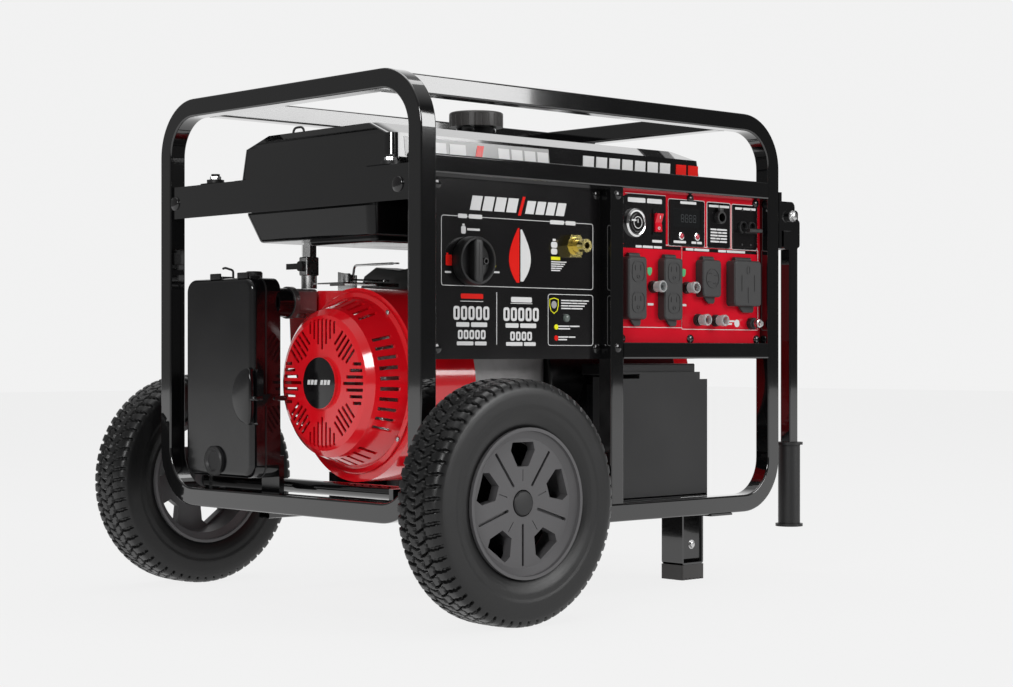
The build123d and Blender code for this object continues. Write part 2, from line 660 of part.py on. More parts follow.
def filter_cover():
    """Removable front half of the air filter box, hinged at the top."""
    y, z = filter_y, filter_z
    x = (filter_x[0], filter_seam)
    box = block(x, y, z)
    box = fillet(box.edges().filter_by(Axis.X), 18.0)
    box = fillet(box.faces().sort_by(Axis.X)[0].edges(), 8.0)
    room = block((x[0] + 3.0, x[1] + 1.0), (y[0] + 6.0, y[1] - 6.0), (z[0] + 6.0, z[1] - 6.0))
    return box - room


def filter_clip():
    """Lever clip on the side of the filter cover."""
    y = filter_y[0]
    lever = block((filter_x[0] + 2.0, filter_x[0] + 12.0), (y - 9.0, y - 0.6), (236.0, 312.0))
    lever = fillet(lever.edges().filter_by(Axis.Y), 4.0)
    hook = block((filter_x[0] + 12.0, filter_seam + 12.0), (y - 9.0, y - 6.0), (262.0, 278.0))
    return lever + hook


def alternator_housing():
    """Ribbed housing round the stator, bolted to the crankcase."""
    body = rod_x(alternator_x, alternator_radius, 0, shaft_z)
    body = fillet(body.edges(), 4.0)
    body -= rod_x((alternator_x[0] + 12.0, alternator_x[1] + 1.0), stator_radius, 0, shaft_z)
    body -= rod_x((alternator_x[0] - 1.0, alternator_x[0] + 13.0), shaft_radius + 6.0, 0, shaft_z)
    feet = [block((560.0, 585.0), (y - 20.0, y + 20.0), (alternator_foot, shaft_z - 85.0)) for y in (-60, 60)]
    ring = rod_x((560.0, 585.0), stator_radius, 0, shaft_z)
    return body + ((feet[0] + feet[1]) - ring)


def stator():
    """Laminated stator ring inside the alternator."""
    x = (alternator_x[0] + 50.0, alternator_x[1] - 48.0)
    return rod_x(x, stator_radius, 0, shaft_z) - rod_x((x[0] - 1, x[1] + 1), rotor_radius + air_gap, 0, shaft_z)


def end_cover():
    """Red louvred cover over the alternator's brush end."""
    x0 = alternator_x[1]
    x1 = x0 + end_cover_length
    r = alternator_radius - 3.0
    outer = revolved([(x0, 0), (x0, r), (x1 - 18.0, r), (x1, r - 24.0), (x1, 0)])
    inner = revolved([(x0 - 1, 0), (x0 - 1, r - 3.0), (x1 - 19.0, r - 3.0), (x1 - 3.0, r - 26.0), (x1 - 3.0, 0)])
    shell = outer - inner
    for i in range(7):
        z = shaft_z + (i - 3) * 20.0
        shell -= block((x1 - 12.0, x1 + 1.0), (-52.0, 52.0), (z - 3.0, z + 3.0))
    return shell


def muffler():
    """Rounded muffler behind the alternator, with its outlet pipe and header pipe."""
    can = block((410.0, 640.0), (70.0, 168.0), (405.0, 478.0), 22.0)
    outlet = rod_x((630.0, 668.0), 14.0, 120.0, 448.0) - rod_x((640.0, 670.0), 12.0, 120.0, 448.0)
    header = rod_x((376.0, 420.0), 16.0, 118.0, 436.0)
    stay = block((480.0, 540.0), (70.0, 74.0), (380.0, 412.0))
    return can + outlet + header + stay


def battery():
    """Starter battery between the front rail and the alternator."""
    body = block((452.0, 622.0), (-171.0, -113.0), (rail_bottom + tube + 2.0, 290.0), 2.0)
    posts = [rod_z((290.0, 300.0), 6.0, x, -142.0) for x in (470.0, 604.0)]
    return body + posts[0] + posts[1]


def battery_shield():
    """Folded steel tray with a tall front shield and a hold-down bar over the battery."""
    y = (-rail_y, -rail_y + 2.0)
    base = rail_bottom + tube
    x = (front_post_x[1] + 4.0, 640.5)
    front = block(x, y, (base + 4.5, 306.0))
    front -= block((624.5, 643.0), (y[0] - 1, y[1] + 1), (295.5, 307.0))
    front -= block((440.0, 497.0), (y[0] - 1, y[1] + 1), (297.0, 303.5))
    tray = block(x, (y[0], -108.0), (base, base + 2.0))
    sides = block((x[1] - 2.0, x[1]), (y[0], -140.0), (base, 250.0))
    sides += block((x[0], x[0] + 2.0), (y[0], -160.0), (base, 300.0))
    hold = block((440.0, 622.0), (-168.0, -116.0), (302.0, 318.0), 2.0)
    tie = block((444.0, 448.0), (-168.0, -160.0), (base + 2.0, 303.0))
    return front + tray + sides + hold + tie


def fuel_panel():
    """Left panel: steel face with folded edges, between the two posts."""
    x = (front_post_x[0] + tube, front_post_x[1])
    y = (fuel_panel_y, fuel_panel_y + panel_thickness)
    z = (panel_bottom, panel_top + 2.0)
    face = block(x, y, z)
    back = -rail_y
    for edge in ((z[0], z[0] + 2.0), (z[1] - 2.0, z[1])):
        face += block((x[0], x[1]), (y[0], back), edge)
    for edge in ((x[0], x[0] + 2.0), (x[1] - 2.0, x[1])):
        face += block(edge, (y[0], back), z)
    return face


def outlet_panel():
    """Right panel: red face with folded edges and the wiring box behind it."""
    x = (front_post_x[1] + tube, inner_right)
    y = (outlet_panel_y, outlet_panel_y + panel_thickness)
    z = (panel_bottom + lower_bar_height, panel_top + 2.0)
    face = block(x, y, z)
    for edge in ((z[0], z[0] + 2.0), (z[1] - 2.0, z[1])):
        face += block(x, (y[0], -rail_y), edge)
    box_x = (x[0] + 6.0, x[1] - 6.0)
    box = block(box_x, (y[0] + 1.0, -125.0), (z[0] + 4.0, 470.0))
    room = block((box_x[0] + 2.0, box_x[1] - 2.0), (y[1], -127.0), (z[0] + 6.0, 468.0))
    return face + (box - room)


def fuel_knob():
    """Selector knob for petrol, propane and off, with a raised grip bar."""
    x, z = 173.0, 452.8
    y = fuel_panel_y - cover_clearance
    body = rod_y((y - 9.0, y), knob_radius, x, z)
    body = fillet(body.faces().sort_by(Axis.Y)[0].edges(), 3.0)
    raised = block((x - 9.0, x + 9.0), (y - knob_depth, y - 8.0), (z - knob_radius + 1.5, z + knob_radius - 1.5))
    return body + fillet(raised.faces().sort_by(Axis.Y)[0].edges(), 4.0)


def brass_fittings():
    """Propane inlet nipple on the left panel and earth terminal on the right panel."""
    face = panel_plane(fuel_panel_y)
    x, z = 357.0, 478.5
    nut = extrude(face * Pos(x, z) * RegularPolygon(17.5, 6), amount=11.0)
    y = fuel_panel_y
    stem = rod_y((y - 22.0, y - 11.0), 7.5, x, z) + rod_y((y - 32.0, y - 22.0), 9.0, x, z)
    stem += rod_y((y - 15.0, y - 11.0), 12.0, x, z)
    inlet = nut + stem - rod_y((y - 33.0, y - 4.0), 4.5, x, z)
    y = outlet_panel_y
    stud = rod_y((y - 22.0, y), 4.0, 727.0, 377.0) + rod_y((y - 8.0, y), 8.0, 727.0, 377.0)
    return [inlet, stud]


def start_button():
    """Round start and stop button that travels inside its bezel."""
    y = outlet_panel_y
    cap = rod_y((y - 7.0, y - 2.6), 13.4, 478.0, 516.0)
    return fillet(cap.faces().sort_by(Axis.Y)[0].edges(), 1.5)


def battery_rocker():
    """Rocker switch of the battery circuit, a shallow V that tips about its middle."""
    y = outlet_panel_y
    x, z = 523.5, 518.0
    points = [(y - 4.0, z), (y - 8.5, z + 12.5), (y - 5.0, z + 13.5), (y - 2.4, z + 12.0), (y - 2.4, z - 12.0),
              (y - 3.0, z - 13.5), (y - 5.2, z - 12.5)]
    face = make_face(Polyline(*[(x - 6.5, b, c) for b, c in points], close=True))
    return extrude(face, amount=13.0, dir=(1, 0, 0))


def breaker_toggle():
    """Double toggle of the main breaker with its tie bar."""
    y = outlet_panel_y
    lever = rod_x((705.0, 733.0), 3.0, y - 16.0, 514.0)
    for x in (707.0, 727.0):
        lever += block((x, x + 4.0), (y - 18.0, y - 5.0), (511.5, 516.5))
    return lever + rod_x((705.0, 733.0), 4.0, y - 7.0, 514.0)


outlet_sizes = {
    "duplex_left": (452.5, 489.5, 380.0, 468.0, 14.0),
    "duplex_right": (526.0, 564.0, 380.0, 468.0, 14.0),
    "twist_lock": (606.0, 646.0, 414.0, 468.0, 15.0),
    "range_outlet": (673.0, 733.0, 402.0, 469.0, 17.0),
}
reset_places = ((514.5, 427.0), (585.0, 427.0), (609.5, 381.0), (647.5, 380.5))


def outlet_cover(x0, x1, z0, z1, depth):
    """Spring cover of one outlet: hollow lid, hinge barrel at the top and a finger tab below."""
    y = outlet_panel_y - cover_clearance
    lid = block((x0, x1), (y - depth, y), (z0, z1))
    lid = fillet(lid.edges().filter_by(Axis.Y), 6.0)
    lid = fillet(lid.faces().sort_by(Axis.Y)[0].edges(), 3.0)
    lid -= block((x0 + cover_wall, x1 - cover_wall), (y - depth + cover_wall, y + 1.0),
                 (z0 + cover_wall + 4.0, z1 - cover_wall - 6.0))
    middle = (x0 + x1) / 2
    wide = (x1 - x0) * 0.3
    barrel = rod_x((middle - wide, middle + wide), 3.4, outlet_panel_y - cover_pivot_gap, z1 + 2.0)
    neck = block((middle - wide, middle + wide), (y - 7.0, y - 2.0), (z1 - 6.0, z1 + 2.0))
    tab = block((middle, middle + wide), (y - 5.0, y - 2.5), (z0 - 9.0, z0 + 4.0))
    tab = fillet(tab.edges().filter_by(Axis.Y).group_by(Axis.Z)[0], 3.0)
    return lid + barrel + neck + tab


def reset_button(x, z):
    """Push-to-reset button of one breaker under its clear boot."""
    y = outlet_panel_y
    boot = rod_y((y - 22.0, y - 8.5), 6.5, x, z)
    return fillet(boot.faces().sort_by(Axis.Y)[0].edges(), 1.5)


def panel_modules():
    """Fixed modules on the right panel: outlets, meter, bezel, rocker frame, breaker plate and nuts."""
    y = outlet_panel_y
    modules = []
    for x0, x1, z0, z1, depth in outlet_sizes.values():
        modules.append(block((x0 + 5.0, x1 - 5.0), (y - 6.0, y), (z0 + 9.0, z1 - 11.0)))
    meter = block((548.0, 622.0), (y - 3.0, y), (489.0, 551.0))
    modules.append(meter - block((556.0, 614.0), (y - 4.0, y - 1.5), (513.0, 540.0)))
    bezel = rod_y((y - 5.0, y), 19.0, 478.0, 516.0) - rod_y((y - 6.0, y - 0.5), 13.8, 478.0, 516.0)
    modules.append(bezel)
    frame = block((514.0, 533.0), (y - 2.0, y), (500.0, 536.0))
    modules.append(frame - block((515.8, 531.2), (y - 3.0, y + 1.0), (503.0, 533.0)))
    modules.append(block((687.0, 741.0), (y - 2.0, y), (490.0, 550.0)))
    socket = rod_y((y - 8.0, y), 9.0, 655.0, 531.0) - rod_y((y - 9.0, y - 2.0), 6.0, 655.0, 531.0)
    modules.append(socket)
    for x, z in reset_places:
        modules.append(rod_y((y - 5.5, y), 8.5, x, z))
    return modules


def save(name, solids):
    """Write one node, moved so that the origin is the middle of the footprint."""
    if not isinstance(solids, (list, tuple)):
        solids = [solids]
    placed = [Pos(-middle_x, 0, 0) * s for s in solids]
    shape = placed[0] if len(placed) == 1 else Compound(children=placed)
    export_step(shape, "parts/" + name + ".step")


def build():
    os.makedirs("parts", exist_ok=True)
    both = {"side_rail": side_rail(), "tyre": tyre(), "rim": rim(), "handle": handle(), "grip": grip()}
    for name, solid in both.items():
        save(name + "_front", solid)
        save(name + "_rear", mirrored(solid))
    pairs = {"handle_brackets": handle_bracket(), "foot_pads": foot_pad()}
    for name, solid in pairs.items():
        save(name, [solid, mirrored(solid)])
    brackets = [axle_bracket(), foot_bracket()]
    save("under_brackets", brackets + [mirrored(b) for b in brackets])
    single = (end_hoop, cross_members, panel_frame, rear_frame, tank_bars, axle, rubber_mounts, tank_upper,
              tank_lower, filler_cap, fuel_tap, fuel_tap_lever, recoil_cover,
              blower_housing, flywheel, rotor_shaft, crankcase, cylinder, carburettor, control_plate,
              throttle_arm, filter_base, filter_element, filter_cover, filter_clip, alternator_housing,
              stator, end_cover, muffler, battery, battery_shield, fuel_panel, outlet_panel, fuel_knob,
              brass_fittings, start_button, battery_rocker, breaker_toggle, panel_modules)
    for piece in single:
        save(piece.__name__, piece())
    for name, sizes in outlet_sizes.items():
        save("cover_" + name, outlet_cover(*sizes))
    for i, place in enumerate(reset_places):
        save("reset_button_" + str(i + 1), reset_button(*place))


build()
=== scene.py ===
import math
import bpy
import bmesh
import numpy as np
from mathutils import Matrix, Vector


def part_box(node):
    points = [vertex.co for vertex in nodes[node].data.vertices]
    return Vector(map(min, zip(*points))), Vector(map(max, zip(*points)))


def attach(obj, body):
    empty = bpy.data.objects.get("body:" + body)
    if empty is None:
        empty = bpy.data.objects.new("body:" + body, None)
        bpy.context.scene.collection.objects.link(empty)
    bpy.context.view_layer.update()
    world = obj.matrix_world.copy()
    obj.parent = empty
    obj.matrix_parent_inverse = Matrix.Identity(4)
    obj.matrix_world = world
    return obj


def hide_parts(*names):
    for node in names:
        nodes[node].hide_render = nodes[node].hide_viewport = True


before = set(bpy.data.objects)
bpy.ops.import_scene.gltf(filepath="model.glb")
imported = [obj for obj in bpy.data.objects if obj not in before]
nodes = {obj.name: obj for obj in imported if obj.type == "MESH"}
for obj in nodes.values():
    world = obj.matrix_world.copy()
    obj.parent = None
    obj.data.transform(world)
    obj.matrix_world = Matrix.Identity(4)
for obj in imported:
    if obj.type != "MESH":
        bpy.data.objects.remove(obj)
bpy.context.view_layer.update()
print("frame loaded:", len(nodes), "nodes")

# Positions are in millimetres from the outer face of the end hoop, the middle plane and the ground.
mm = 0.001
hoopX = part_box("end_hoop")[0].x
wheelRadius = (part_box("tyre_front")[1].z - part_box("tyre_front")[0].z) / 2 / mm
wheelX = ((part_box("tyre_front")[1].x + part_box("tyre_front")[0].x) / 2 - hoopX) / mm
tyreOuter = -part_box("tyre_front")[0].y / mm
tyreInner = -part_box("tyre_front")[1].y / mm
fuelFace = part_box("fuel_panel")[0].y / mm
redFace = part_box("outlet_panel")[0].y / mm


def place(points):
    # millimetres in the layout's own frame to metres in the model's
    return np.asarray(points, float) * mm + np.array([hoopX, 0.0, 0.0])


# every shape is (points, faces) in millimetres

def gridShape(points, closeU=False, closeV=False, flip=False):
    # points[i, j] is a surface sampled over two parameters; neighbours are joined by quads
    n, m = points.shape[:2]
    i = np.arange(n if closeU else n - 1)
    j = np.arange(m if closeV else m - 1)
    a, b = np.meshgrid(i, j, indexing="ij")
    a2 = (a + 1) % n
    b2 = (b + 1) % m
    quads = np.stack([a * m + b, a2 * m + b, a2 * m + b2, a * m + b2], -1).reshape(-1, 4)
    if flip:
        quads = quads[:, ::-1]
    return points.reshape(-1, 3), quads.tolist()


def axisFrame(axis):
    # two unit vectors across the axis, so that (u, v, axis) is right-handed
    w = np.asarray(axis, float)
    w = w / np.linalg.norm(w)
    u = np.cross([0.0, 0.0, 1.0], w) if abs(w[2]) < 0.9 else np.array([1.0, 0.0, 0.0])
    u = u / np.linalg.norm(u)
    return u, np.cross(w, u), w


def lathe(profile, centre, axis, segments=48):
    # (r cos t, r sin t, h) about the axis, for (radius, height) along the profile
    u, v, w = axisFrame(axis)
    t = np.linspace(0, 2 * np.pi, segments, endpoint=False)
    r = np.array([p[0] for p in profile], float)
    h = np.array([p[1] for p in profile], float)
    ring = np.cos(t)[:, None, None] * u + np.sin(t)[:, None, None] * v
    points = np.asarray(centre, float) + r[None, :, None] * ring + h[None, :, None] * w
    return gridShape(points, closeU=True)


def tubeAlong(path, radius, sides=10):
    # a circle of the given radius carried along the path, with its two ends closed flat
    p = np.asarray(path, float)
    d = np.gradient(p, axis=0)
    d = d / np.linalg.norm(d, axis=1)[:, None]
    up = np.array([0.0, 0.0, 1.0]) if abs(d[0][2]) < 0.9 else np.array([1.0, 0.0, 0.0])
    u = np.cross(d, up)
    u = u / np.maximum(np.linalg.norm(u, axis=1)[:, None], 1e-9)
    v = np.cross(d, u)
    t = np.linspace(0, 2 * np.pi, sides, endpoint=False)
    r = np.full(len(p), radius) * np.ones(len(p))
    ring = np.cos(t)[None, :, None] * u[:, None] + np.sin(t)[None, :, None] * v[:, None]
    points = p[:, None] + r[:, None, None] * ring
    verts, faces = gridShape(points, closeV=True)
    last = len(p) - 1
    faces.append([k for k in range(sides)][::-1])
    faces.append([last * sides + k for k in range(sides)])
    return verts, faces


def bentPath(corners, bend=6.0, steps=6):
    # straight runs between the corners, with a quadratic curve of the given size at each
    c = [np.asarray(p, float) for p in corners]
    out = [c[0]]
    for a, b, d in zip(c[:-2], c[1:-1], c[2:]):
        size = min(bend, np.linalg.norm(b - a) / 2.1, np.linalg.norm(d - b) / 2.1)
        start = b + (a - b) / np.linalg.norm(a - b) * size
        end = b + (d - b) / np.linalg.norm(d - b) * size
        s = np.linspace(0, 1, steps)[:, None]
        out.extend(list((1 - s) ** 2 * start + 2 * s * (1 - s) * b + s ** 2 * end))
    out.append(c[-1])
    return np.array(out)


def roundedOutline(width, height, radius, steps=6):
    # a rectangle with quarter circles at its corners, anticlockwise about its middle
    t = np.linspace(0, np.pi / 2, steps)
    out = []
    for k, (sx, sy) in enumerate(((1, 1), (-1, 1), (-1, -1), (1, -1))):
        cx = sx * (width / 2 - radius)
        cy = sy * (height / 2 - radius)
        a = t + k * np.pi / 2
        out.append(np.stack([cx + radius * np.cos(a), cy + radius * np.sin(a)], 1))
    return np.concatenate(out)


def polygonOutline(count, radius, turn=0.0):
    # equal steps round a circle
    t = np.linspace(0, 2 * np.pi, count, endpoint=False) + turn
    return np.stack([radius * np.cos(t), radius * np.sin(t)], 1)


def offsetOutline(outline, amount):
    # each point moved inwards along the bisector of its two edges
    before = np.roll(outline, 1, 0)
    after = np.roll(outline, -1, 0)
    e1 = outline - before
    e2 = after - outline
    n1 = np.stack([-e1[:, 1], e1[:, 0]], 1) / np.linalg.norm(e1, axis=1)[:, None]
    n2 = np.stack([-e2[:, 1], e2[:, 0]], 1) / np.linalg.norm(e2, axis=1)[:, None]
    n = n1 + n2
    n = n / np.maximum(np.sum(n * n1, 1), 0.3)[:, None]
    return outline + n * amount


def prism(outline, centre, axis, depth, bevel=0.0, rounds=3, turn=0.0):
    # the outline carried along the axis, its far edge rounded by a quarter circle
    u, v, w = axisFrame(axis)
    outline = np.asarray(outline, float)
    if turn:
        c, s = math.cos(turn), math.sin(turn)
        outline = outline @ np.array([[c, s], [-s, c]])
    rings = [(outline, 0.0)]
    if bevel:
        for k in range(rounds + 1):
            a = k / rounds * math.pi / 2
            rings.append((offsetOutline(outline, bevel * (1 - math.cos(a))),
                          depth - bevel + bevel * math.sin(a)))
    else:
        rings.append((outline, depth))
    points = np.stack([np.asarray(centre) + o[:, :1] * u + o[:, 1:] * v + h * w for o, h in rings])
    verts, faces = gridShape(points, closeV=True, flip=True)
    n = len(outline)
    last = (len(rings) - 1) * n
    faces.append([k for k in range(n)][::-1])
    faces.append([last + k for k in range(n)])
    return verts, faces


def ringStrip(outline, centre, axis, width, depth):
    # a raised line of the given width that follows the outline
    u, v, w = axisFrame(axis)
    inner = offsetOutline(np.asarray(outline, float), width)
    rings = [(outline, 0.0), (outline, depth), (inner, depth), (inner, 0.0)]
    points = np.stack([np.asarray(centre) + o[:, :1] * u + o[:, 1:] * v + h * w for o, h in rings])
    return gridShape(points, closeU=True, closeV=True, flip=True)


def joinShapes(shapes):
    # one list of points and faces from several, the face numbers shifted along
    verts = []
    faces = []
    base = 0
    for v, f in shapes:
        verts.append(v)
        faces.extend([[k + base for k in face] for face in f])
        base += len(v)
    return np.concatenate(verts), faces


def makePiece(name, shapes, material, body, replaces=(), angle=32.0):
    # joins the shapes into one object that moves with the body; edges over the angle stay sharp
    verts, faces = joinShapes(shapes)
    mesh = bpy.data.meshes.new(name)
    mesh.from_pydata(place(verts).tolist(), [], faces)
    work = bmesh.new()
    work.from_mesh(mesh)
    bmesh.ops.remove_doubles(work, verts=work.verts, dist=2e-6)
    bmesh.ops.dissolve_degenerate(work, edges=work.edges, dist=1e-6)
    bmesh.ops.recalc_face_normals(work, faces=work.faces)
    work.to_mesh(mesh)
    work.free()
    mesh.shade_smooth()
    mesh.set_sharp_from_angle(angle=math.radians(angle))
    piece = bpy.data.objects.new(name, mesh)
    bpy.context.scene.collection.objects.link(piece)
    mesh.materials.append(material)
    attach(piece, body)
    if replaces:
        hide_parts(*replaces)
    return piece


def grainGroup():
    # fine orange-peel height and a broad cloudy mask, both from object position
    group = bpy.data.node_groups.new("fineGrain", "ShaderNodeTree")
    group.interface.new_socket("Grain Scale", in_out="INPUT", socket_type="NodeSocketFloat")
    group.interface.new_socket("Cloud Scale", in_out="INPUT", socket_type="NodeSocketFloat")
    group.interface.new_socket("Height", in_out="OUTPUT", socket_type="NodeSocketFloat")
    group.interface.new_socket("Cloud", in_out="OUTPUT", socket_type="NodeSocketFloat")
    tree, link = group.nodes, group.links
    source = tree.new("NodeGroupInput")
    sink = tree.new("NodeGroupOutput")
    where = tree.new("ShaderNodeTexCoord")
    grain = tree.new("ShaderNodeTexNoise")
    grain.inputs["Detail"].default_value = 3.0
    cloud = tree.new("ShaderNodeTexNoise")
    cloud.inputs["Detail"].default_value = 4.0
    spread = tree.new("ShaderNodeMapRange")
    spread.inputs["From Min"].default_value = 0.3
    spread.inputs["From Max"].default_value = 0.7
    link.new(where.outputs["Object"], grain.inputs["Vector"])
    link.new(where.outputs["Object"], cloud.inputs["Vector"])
    link.new(source.outputs["Grain Scale"], grain.inputs["Scale"])
    link.new(source.outputs["Cloud Scale"], cloud.inputs["Scale"])
    link.new(cloud.outputs["Fac"], spread.inputs["Value"])
    link.new(grain.outputs["Fac"], sink.inputs["Height"])
    link.new(spread.outputs["Result"], sink.inputs["Cloud"])
    return group


fineGrain = grainGroup()


def makeMaterial(name, look):
    # a principled surface whose colour, gloss and bump vary with the shared grain
    material = bpy.data.materials.new(name)
    material.use_nodes = True
    tree, link = material.node_tree.nodes, material.node_tree.links
    shader = tree["Principled BSDF"]
    grain = tree.new("ShaderNodeGroup")
    grain.node_tree = fineGrain
    grain.inputs["Grain Scale"].default_value = look["grain"]
    grain.inputs["Cloud Scale"].default_value = look.get("cloud", 9.0)
    mix = tree.new("ShaderNodeMix")
    mix.data_type = "RGBA"
    mix.inputs["A"].default_value = (*look["colour"], 1)
    mix.inputs["B"].default_value = (*look.get("colour2", [c * 1.25 for c in look["colour"]]), 1)
    rough = tree.new("ShaderNodeMapRange")
    rough.inputs["To Min"].default_value = look["rough"][0]
    rough.inputs["To Max"].default_value = look["rough"][1]
    bump = tree.new("ShaderNodeBump")
    bump.inputs["Strength"].default_value = look.get("bump", 0.2)
    bump.inputs["Distance"].default_value = look.get("bumpDepth", 0.0002)
    link.new(grain.outputs["Cloud"], mix.inputs["Factor"])
    link.new(grain.outputs["Cloud"], rough.inputs["Value"])
    link.new(mix.outputs["Result"], shader.inputs["Base Color"])
    link.new(rough.outputs["Result"], shader.inputs["Roughness"])
    link.new(grain.outputs["Height"], bump.inputs["Height"])
    link.new(bump.outputs["Normal"], shader.inputs["Normal"])
    shader.inputs["Metallic"].default_value = look.get("metal", 0.0)
    shader.inputs["Coat Weight"].default_value = look.get("coat", 0.0)
    shader.inputs["Coat Roughness"].default_value = look.get("coatRough", 0.08)
    shader.inputs["Transmission Weight"].default_value = look.get("clear", 0.0)
    shader.inputs["IOR"].default_value = look.get("ior", 1.5)
    if "glow" in look:
        shader.inputs["Emission Color"].default_value = (*look["glow"], 1)
        shader.inputs["Emission Strength"].default_value = look.get("glowPower", 0.4)
    return material


looks = {
    "framePaint": dict(colour=(0.0022, 0.0022, 0.0024), colour2=(0.003, 0.003, 0.0033), rough=(0.05, 0.08),
                       grain=700.0, bump=0.05, bumpDepth=0.00005, coat=1.0, coatRough=0.03),
    "tankPaint": dict(colour=(0.0022, 0.0022, 0.0024), colour2=(0.003, 0.003, 0.0033), rough=(0.05, 0.09),
                      grain=500.0, bump=0.05, bumpDepth=0.00005, coat=1.0, coatRough=0.03),
    "tankUnderPaint": dict(colour=(0.0022, 0.0022, 0.0024), colour2=(0.003, 0.003, 0.0033),
                           rough=(0.12, 0.2), grain=500.0, bump=0.05, bumpDepth=0.00005, ior=1.36),
    "housingPaint": dict(colour=(0.003, 0.003, 0.0032), rough=(0.22, 0.32), grain=900.0, bump=0.15,
                         bumpDepth=0.0001),
    "shieldPaint": dict(colour=(0.009, 0.009, 0.0095), colour2=(0.012, 0.012, 0.0125), rough=(0.3, 0.38),
                        grain=1100.0, bump=0.25),
    "redPaint": dict(colour=(0.62, 0.005, 0.018), colour2=(0.66, 0.006, 0.021), rough=(0.08, 0.12),
                     grain=900.0, bump=0.05, bumpDepth=0.00005),
    "redPlastic": dict(colour=(0.74, 0.005, 0.012), colour2=(0.8, 0.007, 0.016), rough=(0.12, 0.18),
                       grain=700.0, bump=0.06, bumpDepth=0.0001, coat=0.7, coatRough=0.05),
    "panelBlack": dict(colour=(0.0045, 0.004, 0.0045), colour2=(0.006, 0.0055, 0.006), rough=(0.1, 0.14),
                       grain=1500.0, bump=0.08, bumpDepth=0.0001, coat=0.3, coatRough=0.1),
    "filterPlastic": dict(colour=(0.0022, 0.0022, 0.0026), colour2=(0.003, 0.003, 0.0034),
                          rough=(0.12, 0.2), grain=800.0, bump=0.12, bumpDepth=0.0001, coat=0.15,
                          coatRough=0.06),
    "softPlastic": dict(colour=(0.009, 0.009, 0.0095), rough=(0.4, 0.5), grain=1600.0, bump=0.35,
                        bumpDepth=0.0001),
    "capPlastic": dict(colour=(0.03, 0.028, 0.027), rough=(0.34, 0.44), grain=1200.0, bump=0.3,
                       bumpDepth=0.0001),
    "coverRubber": dict(colour=(0.022, 0.022, 0.0225), colour2=(0.027, 0.027, 0.0275), rough=(0.45, 0.55),
                        grain=1800.0, bump=0.4, bumpDepth=0.0001),
    "gripRubber": dict(colour=(0.007, 0.007, 0.0075), rough=(0.4, 0.5), grain=1700.0, bump=0.4,
                       bumpDepth=0.0001),
    "tyreRubber": dict(colour=(0.0014, 0.0014, 0.0016), colour2=(0.0024, 0.0024, 0.0026),
                       rough=(0.32, 0.46), grain=1300.0, bump=0.35, bumpDepth=0.0002),
    "rimPaint": dict(colour=(0.075, 0.073, 0.076), colour2=(0.085, 0.083, 0.086), rough=(0.42, 0.52),
                     grain=1500.0, bump=0.2, metal=0.1),
    "castMetal": dict(colour=(0.2, 0.195, 0.195), colour2=(0.3, 0.295, 0.295), rough=(0.34, 0.5),
                      grain=1400.0, bump=0.5, metal=0.9, cloud=30.0),
    "zincSteel": dict(colour=(0.55, 0.55, 0.55), colour2=(0.66, 0.66, 0.66), rough=(0.18, 0.3),
                      grain=1200.0, bump=0.12, metal=1.0, cloud=40.0),
    "chrome": dict(colour=(0.78, 0.78, 0.78), rough=(0.06, 0.12), grain=900.0, bump=0.03, metal=1.0),
    "brass": dict(colour=(0.66, 0.55, 0.2), colour2=(0.74, 0.63, 0.26), rough=(0.14, 0.24), grain=1200.0,
                  bump=0.1, metal=1.0),
    "whiteInk": dict(colour=(0.72, 0.72, 0.72), colour2=(0.75, 0.75, 0.75), rough=(0.12, 0.18),
                     grain=2000.0, bump=0.05),
    "greyInk": dict(colour=(0.34, 0.34, 0.34), rough=(0.12, 0.18), grain=2000.0, bump=0.05),
    "redInk": dict(colour=(0.75, 0.012, 0.008), colour2=(0.8, 0.016, 0.01), rough=(0.1, 0.15), grain=2000.0,
                   bump=0.05),
    "yellowInk": dict(colour=(0.8, 0.78, 0.02), rough=(0.12, 0.18), grain=2000.0, bump=0.05),
    "greenInk": dict(colour=(0.12, 0.5, 0.22), rough=(0.12, 0.18), grain=2000.0, bump=0.05),
    "greyGreen": dict(colour=(0.08, 0.1, 0.09), rough=(0.2, 0.3), grain=900.0, bump=0.1, coat=0.4),
    "meterGlass": dict(colour=(0.006, 0.0065, 0.007), rough=(0.05, 0.08), grain=500.0, bump=0.02, coat=0.6),
    "segmentGrey": dict(colour=(0.03, 0.034, 0.036), rough=(0.2, 0.3), grain=900.0, bump=0.05),
    "lampRed": dict(colour=(0.42, 0.006, 0.03), rough=(0.06, 0.1), grain=900.0, bump=0.05, coat=0.9),
    "clearBoot": dict(colour=(0.62, 0.64, 0.64), colour2=(0.68, 0.7, 0.7), rough=(0.08, 0.14), grain=900.0,
                      bump=0.03, clear=0.55, ior=1.35),
    "paper": dict(colour=(0.5, 0.42, 0.26), rough=(0.8, 0.9), grain=900.0, bump=0.5),
    "copperDark": dict(colour=(0.05, 0.035, 0.03), rough=(0.4, 0.5), grain=900.0, bump=0.3, metal=0.6),
}
mats = {name: makeMaterial(name, look) for name, look in looks.items()}

